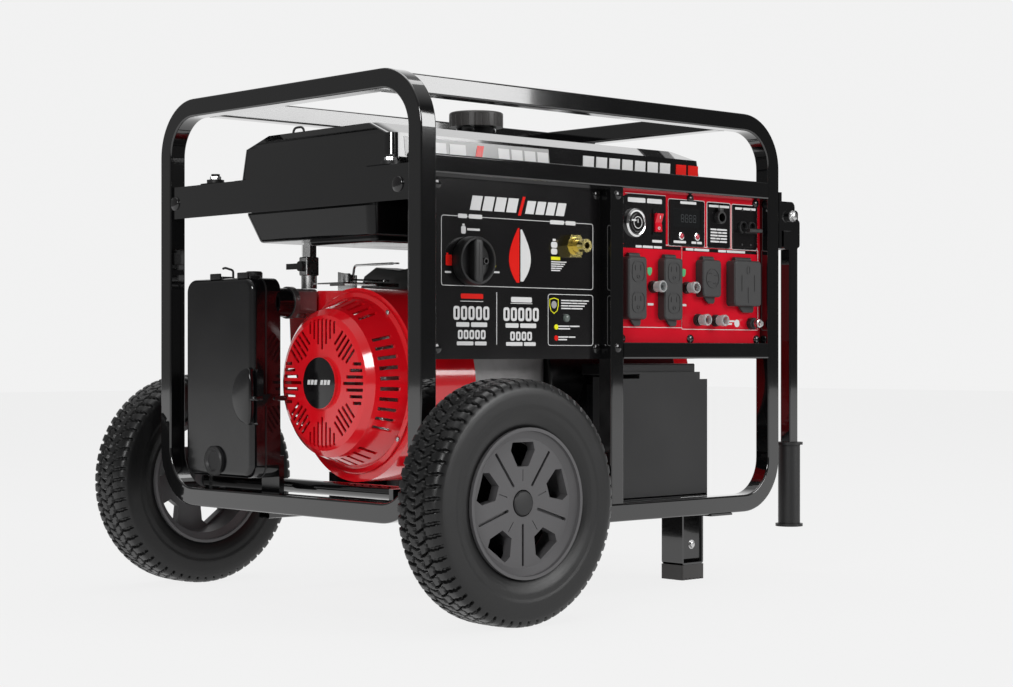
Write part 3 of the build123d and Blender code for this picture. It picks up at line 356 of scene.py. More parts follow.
nodeLooks = {
    "framePaint": ["end_hoop", "side_rail_front", "side_rail_rear", "cross_members", "panel_frame",
                   "rear_frame",
                   "tank_bars", "under_brackets", "handle_brackets", "handle_front", "handle_rear", "axle"],
    "housingPaint": ["alternator_housing", "muffler"],
    "tankPaint": ["tank_upper"],
    "tankUnderPaint": ["tank_lower"],
    "shieldPaint": ["battery_shield"],
    "redPaint": ["outlet_panel", "battery_rocker"],
    "redPlastic": ["recoil_cover", "end_cover", "blower_housing"],
    "panelBlack": ["fuel_panel", "panel_modules", "start_button"],
    "filterPlastic": ["filter_base", "filter_cover", "filter_clip", "battery"],
    "capPlastic": ["filler_cap", "foot_pads"],
    "softPlastic": ["fuel_knob", "breaker_toggle", "fuel_tap_lever", "rubber_mounts"],
    "coverRubber": ["cover_duplex_left", "cover_duplex_right", "cover_twist_lock", "cover_range_outlet"],
    "gripRubber": ["grip_front", "grip_rear"],
    "tyreRubber": ["tyre_front", "tyre_rear"],
    "rimPaint": ["rim_front", "rim_rear"],
    "castMetal": ["crankcase", "cylinder", "carburettor"],
    "zincSteel": ["control_plate", "throttle_arm", "flywheel", "rotor_shaft", "fuel_tap"],
    "copperDark": ["stator"],
    "brass": ["brass_fittings"],
    "paper": ["filter_element"],
    "clearBoot": ["reset_button_1", "reset_button_2", "reset_button_3", "reset_button_4"],
}
for look, names in nodeLooks.items():
    for name in names:
        slots = nodes[name].data.materials
        slots.clear()
        slots.append(mats[look])
print("materials on every CAD node")

tyre = dict(lugs=64, perLug=12, groove=4.5, bead=82.4, rib=117.6, edge=142.0)


def smooth(a, b, x):
    # 0 below a and 1 above b, with a cubic between
    t = np.clip((x - a) / (b - a), 0, 1)
    return t * t * (3 - 2 * t)


def tyreShape(side):
    # radius over (angle, arc across the tread): a rounded section with a stepped sidewall,
    # less the slanted grooves between the blocks and the notches of the shoulder lugs
    half = (tyreOuter - tyreInner) / 2
    r = wheelRadius
    section = np.array([(-half + 13.9, tyre["bead"]), (-half + 9.1, 90.2), (-half + 5.6, 95.2),
                        (-half + 3.2, 101.0),
                        (-half + 1.3, 108.0), (-half + 0.7, tyre["rib"] - 0.5), (-half + 0.1, tyre["rib"]),
                        (-half + 0.05, 124.0), (-half + 0.3, 133.0), (-half + 1.1, 139.5),
                        (-half + 2.4, tyre["edge"]),
                        (-half + 3.6, r - 6.0), (-half + 6.2, r - 3.2), (-half + 10.0, r - 1.2),
                        (-half + 16.0, r - 0.5),
                        (-half + 26.0, r - 0.1), (0.0, r)])
    full = np.concatenate([section, section[-2::-1] * [-1, 1]])
    length = np.concatenate([[0], np.cumsum(np.linalg.norm(np.diff(full, axis=0), axis=1))])
    s = np.linspace(0, length[-1], 96)
    w = np.interp(s, length, full[:, 0])
    rad = np.interp(s, length, full[:, 1])
    t = np.linspace(0, 2 * np.pi, tyre["lugs"] * tyre["perLug"], endpoint=False)
    lug = (t / (2 * np.pi) * tyre["lugs"])[:, None]
    a = np.abs(w)[None, :]
    offset = np.where(w > 0, 0.5, 0.0)[None, :]
    zig = 1.4 * (np.abs(((lug + offset) % 1) * 2 - 1) * 2 - 1)
    middleLine = 1 - smooth(0.7, 1.5, np.abs(w[None, :] - 0.8 * zig))
    sideLine = 1 - smooth(0.7, 1.5, np.abs(a - 15.0 - zig))
    outer = (1 - smooth(0.09, 0.17, np.abs((lug + 0.012 * a + offset) % 1 - 0.5))) * smooth(15.0, 17.0, a)
    inner = (1 - smooth(0.05, 0.11, np.abs((lug + 0.03 * a + offset + 0.5) % 1 - 0.5))) * (1 - smooth(13.0,
                                                                                                      15.0,
                                                                                                      a))
    cut = np.clip(np.maximum.reduce([middleLine * 0.6, sideLine, outer, inner]), 0, 1)
    deep = smooth(tyre["edge"] - 1.0, r - 3.0, rad)[None, :]
    notch = smooth(tyre["edge"] - 0.5, tyre["edge"] + 2.0, rad)[None, :] * smooth(half - 12.0, half - 3.0,
                                                                                  a)
    rr = rad[None, :] - cut * deep * tyre["groove"]
    ww = w[None, :] - np.sign(w)[None, :] * cut * notch * 1.8
    middle = side * (tyreInner + half)
    points = np.stack([wheelX + rr * np.cos(t)[:, None], middle - side * ww,
                       wheelRadius + rr * np.sin(t)[:, None]], -1)
    inside = np.stack([wheelX + tyre["bead"] * np.cos(t), middle + 0 * t,
                       wheelRadius + tyre["bead"] * np.sin(t)], -1)
    return gridShape(np.concatenate([inside[:, None], points, inside[:, None]], 1), closeU=True)


for side, name in ((-1, "front"), (1, "rear")):
    makePiece("tyreTread_" + name, [tyreShape(side)], mats["tyreRubber"], "wheel_" + name,
              replaces=["tyre_" + name], angle=38.0)
print("tyres shaped")

# painted shade: a dark disc across the middle of the front wheel, so the rim's open windows show black
# instead of the light through them
paintedShadeDisc = dict(outer=77.6, bore=26.3, depth=42.0)
profile = [(paintedShadeDisc["bore"], 0.0), (34.0, 2.0), (60.0, 5.0), (paintedShadeDisc["outer"], 5.0), (paintedShadeDisc["outer"], 6.2),
           (60.0, 6.2),
           (34.0, 3.2), (paintedShadeDisc["bore"], 1.2), (paintedShadeDisc["bore"], 0.0)]
at = (wheelX, -(tyreOuter - paintedShadeDisc["depth"]), wheelRadius)
makePiece("frontWheelShadeDisc", [lathe(profile, at, (0.0, 1.0, 0.0), 64)], mats["housingPaint"], "wheel_front")
capProfile = [(14.6, 0.0), (15.2, 1.0), (15.2, 3.4), (13.8, 5.0), (9.0, 5.8), (0.001, 6.0)]
for side, name in ((-1, "front"), (1, "rear")):
    at = (wheelX, side * (tyreOuter - 15.2), wheelRadius)
    makePiece("hubCap_" + name, [lathe(capProfile, at, (0.0, side, 0.0), 40)], mats["softPlastic"],
              "wheel_" + name)

bearer = dict(x=150.0, length=450.0, y=88.0, z=147.0)
channels = []
for side in (-1, 1):
    web = np.array([(-2.0, -21.0), (2.0, -21.0), (2.0, 17.0), (20.0, 17.0), (20.0, 21.0), (-2.0, 21.0)])
    web[:, 0] *= -side
    if side > 0:
        web = web[::-1]
    channels.append(prism(web, (bearer["x"], side * bearer["y"], bearer["z"]), (1.0, 0.0, 0.0),
                          bearer["length"]))
makePiece("engineBearers", channels, mats["framePaint"], "frame")
print("wheel covers and bearers done")

front = (0.0, -1.0, 0.0)
left = (-1.0, 0.0, 0.0)
up = (0.0, 0.0, 1.0)


def flat(outline, x, z, face, height=0.3, turn=0.0):
    # a thin printed shape lying on a front-facing surface
    return prism(outline, (x, face + 0.05, z), front, height + 0.05, turn=turn)


def panelBlock(x0, x1, z0, z1, face, height=0.3, radius=0.6, steps=3):
    # a raised rounded rectangle between two corners
    return flat(roundedOutline(x1 - x0, z1 - z0, radius, steps), (x0 + x1) / 2, (z0 + z1) / 2, face, height)


def wordRow(x0, x1, z, height, words, face, raised=0.3):
    # a row of blank blocks, one for each word's length, that fills the width
    gap = height * 0.55
    unit = (x1 - x0 - gap * (len(words) - 1)) / sum(words)
    out = []
    x = x0
    for word in words:
        out.append(panelBlock(x, x + word * unit, z - height / 2, z + height / 2, face, raised,
                              height * 0.22))
        x += word * unit + gap
    return out


def numberRow(x0, x1, z, height, count, face):
    # upright rounded rings side by side, like a row of blank figures
    pitch = (x1 - x0) / count
    out = []
    for k in range(count):
        ring = roundedOutline(pitch * 0.82, height, pitch * 0.28, 5)
        out.append(ringStrip(ring, (x0 + (k + 0.5) * pitch, face + 0.05, z), front, pitch * 0.27, 0.35))
    return out


def dome(centre, axis, radius, height, segments=28):
    # a low dome, as of a pan-head bolt
    s = np.linspace(0, 1, 7)
    profile = [(radius, 0.0), (radius, height * 0.35)]
    profile += [(radius * math.cos(a), height * (0.35 + 0.65 * math.sin(a))) for a in s[1:] * math.pi / 2]
    profile[-1] = (0.001, height)
    return lathe(profile, centre, axis, segments)


def hexBolt(centre, axis, radius, height, washer=1.35):
    # a washer under a six-sided head with a chamfered top
    base = np.asarray(centre, float)
    w = np.asarray(axis, float)
    return [lathe([(0.001, 0.0), (radius * washer, 0.0), (radius * washer, 1.2), (0.001, 1.2)], base, axis,
                  28),
            prism(polygonOutline(6, radius, 0.3), base + w * 1.2, axis, height, 1.0, 2)]


def teardrop(width, height, half=0):
    # sides that swell low down and meet in a point at the top; half picks one side only
    t = np.linspace(0, 1, 16)
    side = width / 2 * np.sin(np.pi * t) ** 0.9 * (1.25 - 0.55 * t)
    z = height * (t - 0.5)
    right = np.stack([side, z], 1)
    leftSide = np.stack([-side, z], 1)[::-1]
    if half > 0:
        return np.concatenate([right[1:-1], np.stack([np.full(6, 1.2), np.linspace(z[-2], z[1], 6)], 1)])
    if half < 0:
        return np.concatenate([leftSide[1:-1], np.stack([np.full(6, -1.2), np.linspace(z[1], z[-2], 6)],
                                                        1)])
    return np.concatenate([right, leftSide[1:-1]])


# the fuel panel's two outlined fields as (x0, x1, z0, z1), and the y of its printed face
fuelPrint = dict(box=(123.0, 400.5, 420.0, 511.0), small=(314.0, 400.5, 343.0, 413.0), line=0.8)
f = fuelFace


def slantBlock(x0, x1, z0, z1, face, slant):
    # a block whose top is shifted sideways by the slant
    lean = slant / 2
    outline = np.array([(x0 - lean, z0), (x1 - lean, z0), (x1 + lean, z1), (x0 + lean, z1)])
    middle = np.array([(x0 + x1) / 2, (z0 + z1) / 2])
    return flat(outline - middle, middle[0], middle[1], face, 0.35)


white = []
for x0, x1, z0, z1 in (fuelPrint["box"], fuelPrint["small"]):
    ring = roundedOutline(x1 - x0, z1 - z0, 4.0, 5)
    white.append(ringStrip(ring, ((x0 + x1) / 2, f + 0.05, (z0 + z1) / 2), front, fuelPrint["line"], 0.35))
white.append(panelBlock(219.6, 220.6, 344.0, 413.0, f, 0.3, 0.2))
for k in range(4):
    white.append(slantBlock(175.0 + k * 21.5, 193.0 + k * 21.5, 519.5, 538.5, f, 5.0))
    white.append(slantBlock(274.0 + k * 19.0, 289.5 + k * 19.0, 519.0, 536.5, f, 5.0))
white += wordRow(152.0, 194.0, 511.0, 5.5, [4, 6], f, 0.5)
white += wordRow(318.0, 366.0, 510.0, 5.5, [7, 5], f, 0.5)
white += [panelBlock(157.5, 165.5, 488.0, 498.0, f, 0.3, 2.0),
          panelBlock(159.5, 163.5, 498.4, 501.0, f, 0.3, 0.6)]
white += wordRow(168.0, 190.0, 494.0, 3.0, [7], f)
white += [panelBlock(320.0, 331.5, 466.5, 474.5, f, 0.3, 2.5),
          panelBlock(320.0, 331.5, 475.5, 483.5, f, 0.3, 2.5)]
white += [panelBlock(323.0, 328.5, 484.6, 487.6, f, 0.3, 0.6)]
white += wordRow(129.5, 140.0, 437.5, 2.4, [3], f) + wordRow(204.0, 225.0, 439.5, 2.4, [7], f)
for k, words in enumerate(([9], [7, 3], [5, 6], [4, 5], [6])):
    white += wordRow(320.0, 349.0 - 3.0 * k, 456.5 - 2.9 * k, 1.6, words, f)
white += numberRow(143.0, 208.0, 385.0, 18.0, 5, f) + numberRow(231.0, 298.0, 384.5, 18.0, 5, f)
white += wordRow(149.0, 203.0, 370.0, 6.0, [4, 5], f) + wordRow(236.0, 292.0, 369.5, 6.0, [4, 5], f)
white += numberRow(151.0, 201.0, 357.0, 12.0, 5, f) + numberRow(243.5, 285.0, 355.5, 12.0, 4, f)
white += wordRow(150.0, 202.0, 345.5, 5.0, [7, 5], f) + wordRow(237.0, 291.0, 345.0, 5.0, [7, 5], f)
white += wordRow(246.0, 284.0, 404.0, 7.0, [7], f)
white += [panelBlock(156.0, 196.0, 400.0, 400.8, f, 0.3, 0.2),
          panelBlock(245.0, 285.0, 398.6, 399.4, f, 0.3, 0.2)]
for k, words in enumerate(([4, 6, 3], [6, 3, 5], [3, 7], [5, 6])):
    white += wordRow(339.0, 392.0 - 4.0 * k, 404.5 - 3.6 * k, 1.7, words, f)
white += wordRow(333.5, 374.0, 369.5, 1.8, [7, 6], f) + wordRow(333.5, 356.0, 366.0, 1.8, [5], f)
white += wordRow(333.5, 366.0, 354.8, 1.8, [6, 4], f) + wordRow(333.5, 350.0, 351.3, 1.8, [5], f)
white.append(flat(teardrop(40.0, 80.0, 1), 262.0, 463.0, f, 0.5))
makePiece("fuelPanelWhite", white, mats["whiteInk"], "frame")
red = [flat(teardrop(40.0, 84.0, -1), 262.0, 463.0, f, 0.5), slantBlock(263.0, 268.0, 516.0, 541.5, f, 9.0),
       panelBlock(131.0, 141.5, 446.0, 460.0, f, 0.3, 1.2),
       panelBlock(132.0, 135.0, 460.2, 462.4, f, 0.3, 0.4)]
red += wordRow(157.0, 196.0, 407.0, 6.5, [8], f) + [flat(polygonOutline(20, 3.6), 329.4, 353.4, f, 0.8)]
makePiece("fuelPanelRed", red, mats["redInk"], "frame")
yellow = [panelBlock(209.5, 218.5, 446.0, 455.0, f, 0.3, 1.0),
          ringStrip(roundedOutline(7.0, 9.0, 3.4, 5), (214.0, f + 0.05, 457.0), front, 1.2, 0.3),
          flat(polygonOutline(20, 3.6), 329.4, 368.3, f, 0.8),
          panelBlock(320.0, 337.0, 459.0, 463.4, f, 0.3, 0.6)]
shieldMark = np.array([(0, -12), (6, -8), (8.5, -1), (8.5, 8), (0, 10), (-8.5, 8), (-8.5, -1), (-6, -8)],
                      float)
yellow.append(ringStrip(shieldMark, (325.5, f + 0.05, 398.0), front, 1.0, 0.35))
makePiece("fuelPanelYellow", yellow, mats["yellowInk"], "frame")
makePiece("fuelPanelGrey", [flat(polygonOutline(16, 5.0), 325.5, 398.5, f)], mats["greyInk"], "frame")
makePiece("alarmButton", [dome((348.4, f, 380.7), front, 5.6, 4.5)], mats["greyGreen"], "frame")

knob = dict(x=173.0, z=452.8, radius=32.0, depth=24.0)


def knobShape():
    # a cup with a rolled rim, crossed by a finger bar level with its rim
    at = (knob["x"], f - 0.5, knob["z"])
    r = knob["radius"]
    disc = lathe([(0.001, 0.0), (r - 0.4, 0.0), (r, 1.2), (r - 0.6, 14.5), (r - 1.4, 16.4), (r - 2.8, 17.0),
                  (r - 4.2, 16.4),
                  (r - 5.0, 14.5), (r - 6.5, 8.0), (r - 9.0, 6.2), (0.001, 6.0)], at, front, 72)
    bar = prism(roundedOutline(15.5, 2 * r - 6.0, 6.0, 8), at, front, knob["depth"] - 5.5, 3.0, 4)
    rib = prism(roundedOutline(1.6, 2 * r - 16.0, 0.7, 3), (at[0], at[1] - knob["depth"] + 5.7, at[2]),
                front, 0.5)
    ring = lathe([(4.4, 6.0), (4.4, 12.0), (2.6, 12.0), (2.6, 6.0)], (at[0] + 17.5, at[1], at[2]), front,
                 20)
    return [disc, bar, rib, ring]


makePiece("selectorKnob", knobShape(), mats["softPlastic"], "fuel_knob",
          replaces=["fuel_knob"], angle=40)
print("fuel panel done")

# r is the y of the red panel's printed face
outletPrint = dict(line=0.9)
r = redFace
boxes = [panelBlock(548.5, 624.5, 487.0, 553.0, r, 0.6, 3.0),
         panelBlock(631.0, 681.5, 487.0, 552.5, r, 0.5, 3.0),
         panelBlock(685.8, 742.0, 486.5, 552.0, r, 0.5, 3.0),
         panelBlock(439.8, 574.0, 480.5, 485.5, r, 0.3, 0.4),
         panelBlock(578.5, 742.0, 480.0, 485.0, r, 0.3, 0.4)]
boxes.append(flat(np.concatenate([roundedOutline(102.0, 74.0, 3.0, 4)[:4],
                                  roundedOutline(102.0, 74.0, 30.0, 10)[10:30],
                                  roundedOutline(102.0, 74.0, 3.0, 4)[-4:]]), 491.5, 519.5, r, 0.5))
makePiece("outletPanelBoxes", boxes, mats["panelBlack"], "frame")
white = []
for x0, x1, z0, z1, c in ((548.5, 624.5, 487.0, 553.0, 3.0), (631.0, 681.5, 487.0, 552.5, 3.0),
                          (685.8, 742.0, 486.5, 552.0, 3.0), (440.5, 576.0, 370.0, 486.5, 2.0),
                          (577.0, 744.0, 368.0, 486.0, 2.0)):
    white.append(ringStrip(roundedOutline(x1 - x0 + 2, z1 - z0 + 2, c, 4),
                           ((x0 + x1) / 2, r + 0.05, (z0 + z1) / 2),
                           front, outletPrint["line"], 0.4))
white.append(panelBlock(459.0, 542.0, 556.6, 557.4, r, 0.4, 0.2))
white += wordRow(464.0, 534.0, 548.0, 6.5, [7, 6], r - 0.5) + wordRow(514.0, 534.0, 491.5, 3.6, [7],
                                                                      r - 0.5)
white += wordRow(570.0, 604.0, 549.0, 3.8, [9], r - 3.0) + wordRow(556.0, 582.0, 492.3, 3.4, [7], r - 3.0)
white += wordRow(594.0, 616.0, 492.3, 3.4, [3, 3], r - 3.0) + wordRow(634.5, 679.0, 547.5, 3.4, [6, 6],
                                                                      r - 0.5)
white += wordRow(691.0, 737.0, 546.5, 3.4, [4, 7], r - 2.0)
for k, words in enumerate(([3, 5], [6, 3, 4], [5, 6], [4, 3, 5], [5, 4])):
    white += wordRow(638.0, 674.0, 513.5 - 4.4 * k, 2.4, words, r - 0.5)
white += wordRow(480.0, 534.0, 483.0, 3.4, [3, 5, 4], r - 0.3) + wordRow(585.0, 635.0, 482.6, 3.4, [3, 6],
                                                                         r - 0.3)
white += wordRow(655.0, 715.0, 482.4, 3.4, [3, 7], r - 0.3)
white += wordRow(505.0, 517.0, 402.0, 3.2, [3], r) + wordRow(575.0, 586.0, 402.0, 3.2, [3], r)
white += wordRow(664.0, 692.0, 380.0, 2.6, [4, 6], r) + wordRow(664.0, 686.0, 376.0, 2.6, [7], r)
white += wordRow(465.5, 474.5, 519.0, 2.4, [3], r - 7.0)
white.append(flat(polygonOutline(24, 5.6), 697.0, 377.0, r))
makePiece("outletPanelWhite", white, mats["whiteInk"], "frame")
green = [flat(shieldMark * 0.55, 509.0, 449.0, r, 0.4), flat(shieldMark * 0.55, 580.0, 449.0, r, 0.4)]
makePiece("outletPanelGreen", green, mats["greenInk"], "frame")
digits = []
for k in range(4):
    x = 573.0 + k * 8.6
    for a, b, c, d in ((0, 5, 10, 11), (0, 5, 5, 6), (0, 5, 0, 1), (-0.6, 0.3, 5.8, 10), (-0.6, 0.3, 1, 5),
                       (4.7, 5.6, 5.8, 10), (4.7, 5.6, 1, 5)):
        digits.append(panelBlock(x + a, x + b, 521.0 + c, 521.0 + d, r - 2.4, 0.15, 0.2, 2))
makePiece("meterFigures", digits, mats["segmentGrey"], "frame")
makePiece("meterWindow", [prism(roundedOutline(58.0, 27.0, 1.0, 3), (585.0, r - 1.4, 526.5), front, 1.0)],
          mats["meterGlass"], "frame")
lampPlaces = [(x, r - 2.9, 501.0) for x in (571.8, 605.5)]
domes = [dome(at, front, 4.3, 3.4) for at in lampPlaces]
makePiece("warningLamps", domes, mats["lampRed"], "frame")
bezels = [lathe([(4.3, 0.0), (5.6, 0.2), (5.6, 1.4), (4.3, 1.8)], at, front, 28) for at in lampPlaces]
bezels += [lathe([(13.9, 0.0), (20.2, 0.0), (20.6, 2.0), (20.0, 4.2), (17.6, 5.7), (15.4, 5.4), (13.9, 4.0),
                  (13.9, 0.0)],
                 (478.0, r, 516.0), front, 64)]
makePiece("chromeRings", bezels, mats["chrome"], "frame")
startMark = [lathe([(8.6, 0.0), (8.6, 0.25), (7.6, 0.25), (7.6, 0.0)], (478.0, r - 7.0, 516.0), front, 40),
             panelBlock(477.4, 478.6, 515.5, 521.0, r - 7.0, 0.3, 0.2)]
makePiece("startMark", startMark, mats["whiteInk"], "start_button")
rockerMark = [panelBlock(523.0, 524.0, 523.0, 527.5, r - 6.8, 0.9, 0.2),
              lathe([(2.2, 0.0), (2.2, 1.6), (1.5, 1.6), (1.5, 0.0)], (523.5, r - 3.9, 510.0), front, 20)]
makePiece("rockerMark", rockerMark, mats["whiteInk"], "battery_rocker")
port = [lathe([(8.9, 0.0), (9.4, 6.0), (9.0, 8.4), (6.4, 8.4), (6.2, 2.0), (0.001, 2.0)], (655.0, r, 531.0),
              front, 36),
        prism(roundedOutline(9.0, 7.0, 2.0, 4), (655.0, r - 4.0, 541.5), front, 4.0, 1.0, 2)]
makePiece("portCollar", port, mats["softPlastic"], "frame")
breaker = []
for x in (702.5, 722.0):
    breaker += [lathe([(9.0, 0.0), (9.0, 3.4), (7.6, 4.6), (6.6, 3.6), (6.4, 0.2)],
                      (x + 4.0, r - 2.0, 519.0), front, 36)]
    for z in (493.5, 544.5):
        breaker += [dome((x + 4.0, r - 2.0, z), front, 1.8, 1.0, 16)]
makePiece("breakerGuards", breaker, mats["softPlastic"], "frame")
outlets = {"duplex_left": [(471.0, 447.0, 12.5, 29.0), (471.0, 404.0, 12.5, 29.0)],
           "duplex_right": [(545.0, 447.0, 12.5, 29.0), (545.0, 404.0, 12.5, 29.0)],
           "twist_lock": [(626.0, 441.0, 14.0, 36.0)], "range_outlet": [(703.0, 436.0, 22.0, 58.0)]}
faces = {"duplex_left": 14.5, "duplex_right": 14.5, "twist_lock": 15.5, "range_outlet": 17.5}
for name, rings in outlets.items():
    at = r - faces[name]
    shapes = []
    for x, z, w, h in rings:
        if name.startswith("duplex"):
            shapes.append(ringStrip(roundedOutline(2 * w, h, 9.0, 7), (x, at + 0.1, z), front, 0.9, 0.8))
            shapes += [panelBlock(x - 6.4, x - 4.6, z + 1.5, z + 8.5, at, 0.7, 0.5),
                       panelBlock(x + 4.6, x + 6.4, z + 1.5, z + 9.5, at, 0.7, 0.5)]
            shapes.append(ringStrip(polygonOutline(16, 3.0), (x, at + 0.1, z - 7.0), front, 0.8, 0.7))
        elif name == "twist_lock":
            shapes.append(ringStrip(polygonOutline(48, w), (x, at + 0.1, z), front, 0.9, 0.8))
            for k in range(4):
                a = k * math.pi / 2 + 0.6
                shapes.append(ringStrip(roundedOutline(5.5, 1.8, 0.8, 3),
                                        (x + 8.5 * math.cos(a), at + 0.1, z + 8.5 * math.sin(a)),
                                        front, 0.5, 0.7))
        else:
            shapes += [panelBlock(x - 0.9, x + 0.9, z - 29.0, z - 6.0, at, 0.7, 0.5),
                       panelBlock(x - 15.0, x - 13.4, z - 12.0, z + 12.0, at, 0.7, 0.5)]
            shapes += [panelBlock(x + 13.4, x + 15.0, z - 12.0, z + 12.0, at, 0.7, 0.5)]
            shapes.append(ringStrip(roundedOutline(7.0, 12.0, 3.4, 5), (x, at + 0.1, z + 19.0), front, 0.9,
                                    0.7))
    box = [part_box("cover_" + name)[k] for k in (0, 1)]
    x0, x1, z0 = (box[0].x - hoopX) / mm, (box[1].x - hoopX) / mm, box[0].z / mm + 9.0
    mid = (x0 + x1) / 2
    tab = np.array([(mid - 9.0, 3.0), (mid - 3.0, -5.0), (mid + 3.0, -9.0), (x1 - 7.0, -9.0),
                    (x1 - 4.5, -6.0), (x1 - 4.0, 3.0)])
    shapes.append(prism(tab - [mid, 0.0], (mid, r - 2.8, z0), front, 3.2, 1.0, 2))
    makePiece("outletRelief_" + name, shapes, mats["coverRubber"], "cover_" + name)
for k, (x, z) in enumerate(((514.5, 427.0), (585.0, 427.0), (609.5, 381.0), (647.5, 380.5))):
    body = "reset_button_%d" % (k + 1)
    boot = lathe([(7.6, 8.7), (7.6, 15.0), (8.4, 16.0), (8.4, 21.0), (7.6, 22.0), (6.0, 22.0), (6.0, 20.6),
                  (6.6, 16.2),
                  (6.1, 15.0), (6.1, 8.7), (7.6, 8.7)], (x, r, z), front, 36)
    makePiece("clearBoot_%d" % (k + 1), [boot], mats["clearBoot"], body, replaces=[body])
    makePiece("resetStem_%d" % (k + 1), [lathe([(0.001, 8.7), (4.0, 8.7), (4.0, 15.5), (3.2, 16.4),
                                                (0.001, 16.4)], (x, r, z), front, 24)],
              mats["softPlastic"], body)
    nut = lathe([(8.7, 0.0), (8.9, 3.6), (8.0, 5.8), (6.6, 5.9)], (x, r, z), front, 32)
    makePiece("bootNut_%d" % (k + 1), [nut], mats["softPlastic"], "frame")
earth = [lathe([(8.2, 0.1), (8.8, 1.0), (8.8, 8.0), (7.6, 9.4), (4.1, 9.6)], (727.0, r, 377.0), front, 32)]
makePiece("earthKnob", earth, mats["softPlastic"], "frame")
earthNut = [prism(polygonOutline(8, 6.6), (727.0, r - 13.0, 377.0), front, 6.0, 0.8, 2),
            lathe([(4.2, 9.0), (4.3, 22.4), (3.4, 23.0), (0.001, 23.0)], (727.0, r, 377.0), front, 24)]
makePiece("earthNut", earthNut, mats["zincSteel"], "frame")
print("outlet panel done")

blackBolts = []
for x in (116.0, 407.5):
    for z in (551.5, 339.2):
        blackBolts.append(dome((x, f, z), front, 7.0, 2.6))
for x, z in ((593.8, 559.6), (738.4, 559.8), (593.8, 353.4), (740.7, 353.3), (452.0, 353.3)):
    blackBolts.append(dome((x, r, min(z, 555.5)), front, 6.4, 4.0))
for y, z in ((252.0, 542.0), (-235.0, 540.0)):
    blackBolts.append(dome((4.0, y, z), left, 10.0, 3.8))
for x, z in ((427.0, 551.0), (427.0, 340.0), (81.0, 551.0)):
    blackBolts.append(dome((x, -200.0, z), front, 6.0, 2.4))
makePiece("panelScrews", blackBolts, mats["panelBlack"], "frame")
silver = hexBolt((798.5, -205.0, 538.6), front, 6.5, 4.5) + hexBolt((798.5, 205.0, 538.6), (0.0, 1.0, 0.0),
                                                                    6.5, 4.5)
silver += [prism(polygonOutline(6, 8.0, 0.2), (29.0, y, 573.4), up, 4.6, 0.8, 2) for y in (-190.0, 190.0)]
silver += hexBolt((640.0, -143.5, 52.0), front, 5.0, 3.0)
makePiece("silverBolts", silver, mats["zincSteel"], "frame")

starter = dict(x=62.9, z=293.0, screwCircle=118.6)
badge = [lathe([(0.001, 0.9), (32.5, 0.9), (34.0, 0.5), (34.6, -0.4), (34.6, -1.6)],
               (starter["x"], 0.0, starter["z"]), left, 72)]
makePiece("starterBadge", badge, mats["panelBlack"], "frame")
mark = []
for k in range(3):
    for y0 in (-23.0, 5.0):
        outline = np.array([(-3.4, -3.2), (2.0, -3.2), (3.4, 3.2), (-2.0, 3.2)])
        mark.append(prism(outline, (starter["x"] - 0.88, -(y0 + 2.5 + k * 7.4), starter["z"] + 1.0), left,
                          0.3))
makePiece("badgeBars", mark, mats["whiteInk"], "frame")
rimLine = [(122.2, 0.0), (122.8, 0.8), (122.8, 2.0), (121.6, 2.6)]
makePiece("starterRibs", [lathe(rimLine, (124.0, 0.0, starter["z"]), left, 96)], mats["redPlastic"],
          "frame")
screws = []
for k in range(4):
    a = math.radians(38 + 90 * k)
    y, z = starter["screwCircle"] * math.cos(a), starter["z"] + starter["screwCircle"] * math.sin(a)
    screws.append(dome((121.0, y, z), left, 3.6, 2.4, 18))
makePiece("starterScrews", screws, mats["zincSteel"], "frame")
print("starter done")

knobs = [lathe([(0.001, 0.0), (11.0, 0.0), (11.6, 1.5), (11.6, 8.0), (10.0, 10.0), (0.001, 10.4)],
               (44.0, 120.0, 434.6), up, 12)]
for y in (104.0, 168.0):
    knobs.append(prism(roundedOutline(20.0, 24.0, 3.0, 4), (26.0, y, 433.6), up, 4.5, 1.5, 3))
    knobs.append(prism(roundedOutline(3.0, 24.0, 1.0, 3), (14.0, y, 434.0), up, 8.0, 1.0, 2))
knobs.append(lathe([(20.5, -1.0), (20.5, 4.0), (18.5, 6.0), (15.0, 6.0), (12.5, 3.2), (0.001, 3.0)],
                   (10.0, 163.0, 185.5), left, 40))
knobs.append(tubeAlong(bentPath([(22.0, 138.0, 434.0), (22.0, 138.0, 446.0), (22.0, 157.0, 450.0),
                                 (22.0, 162.0, 449.0)], 4.0), 1.6, 8))
makePiece("filterTabs", knobs, mats["softPlastic"], "filter_cover")
seam = roundedOutline(159.6, 272.6, 18.6, 8)
makePiece("filterSeam", [ringStrip(seam, (34.3, 156.75, 299.5), left, 2.2, 2.6)], mats["softPlastic"],
          "frame")
t = np.linspace(1, -1, 19)
crescent = np.concatenate([np.stack([-36.0 * np.sqrt(1 - t ** 2) - 1.0, 38.5 * t], 1),
                           [[3.0, -36.0], [6.0, -20.0], [6.0, 20.0], [3.0, 36.0]]])
lever = [prism(crescent, (10.3, 79.0, 275.0), left, 7.0, 3.0, 4),
         tubeAlong(bentPath([(7.0, 76.0, 272.0), (8.0, 70.5, 272.0), (20.0, 70.0, 272.0)], 4.0), 3.6, 10)]
makePiece("clipLever", lever, mats["filterPlastic"], "filter_clip", angle=40)
catch = [tubeAlong(bentPath([(38.0, 78.0, 272.0), (38.0, 71.0, 272.0), (61.0, 71.0, 272.0),
                             (61.0, 78.0, 272.0)], 4.0), 3.6, 10)]
makePiece("clipCatch", catch, mats["filterPlastic"], "frame", angle=40)
print("filter done")

loop = bentPath([(64.0, 34.0, 616.0), (64.0, 34.0, 637.0), (64.0, 58.0, 637.0), (64.0, 58.0, 616.0)], 9.0,
                8)
makePiece("tankClips", [tubeAlong(loop, 1.6, 10)], mats["softPlastic"], "frame")


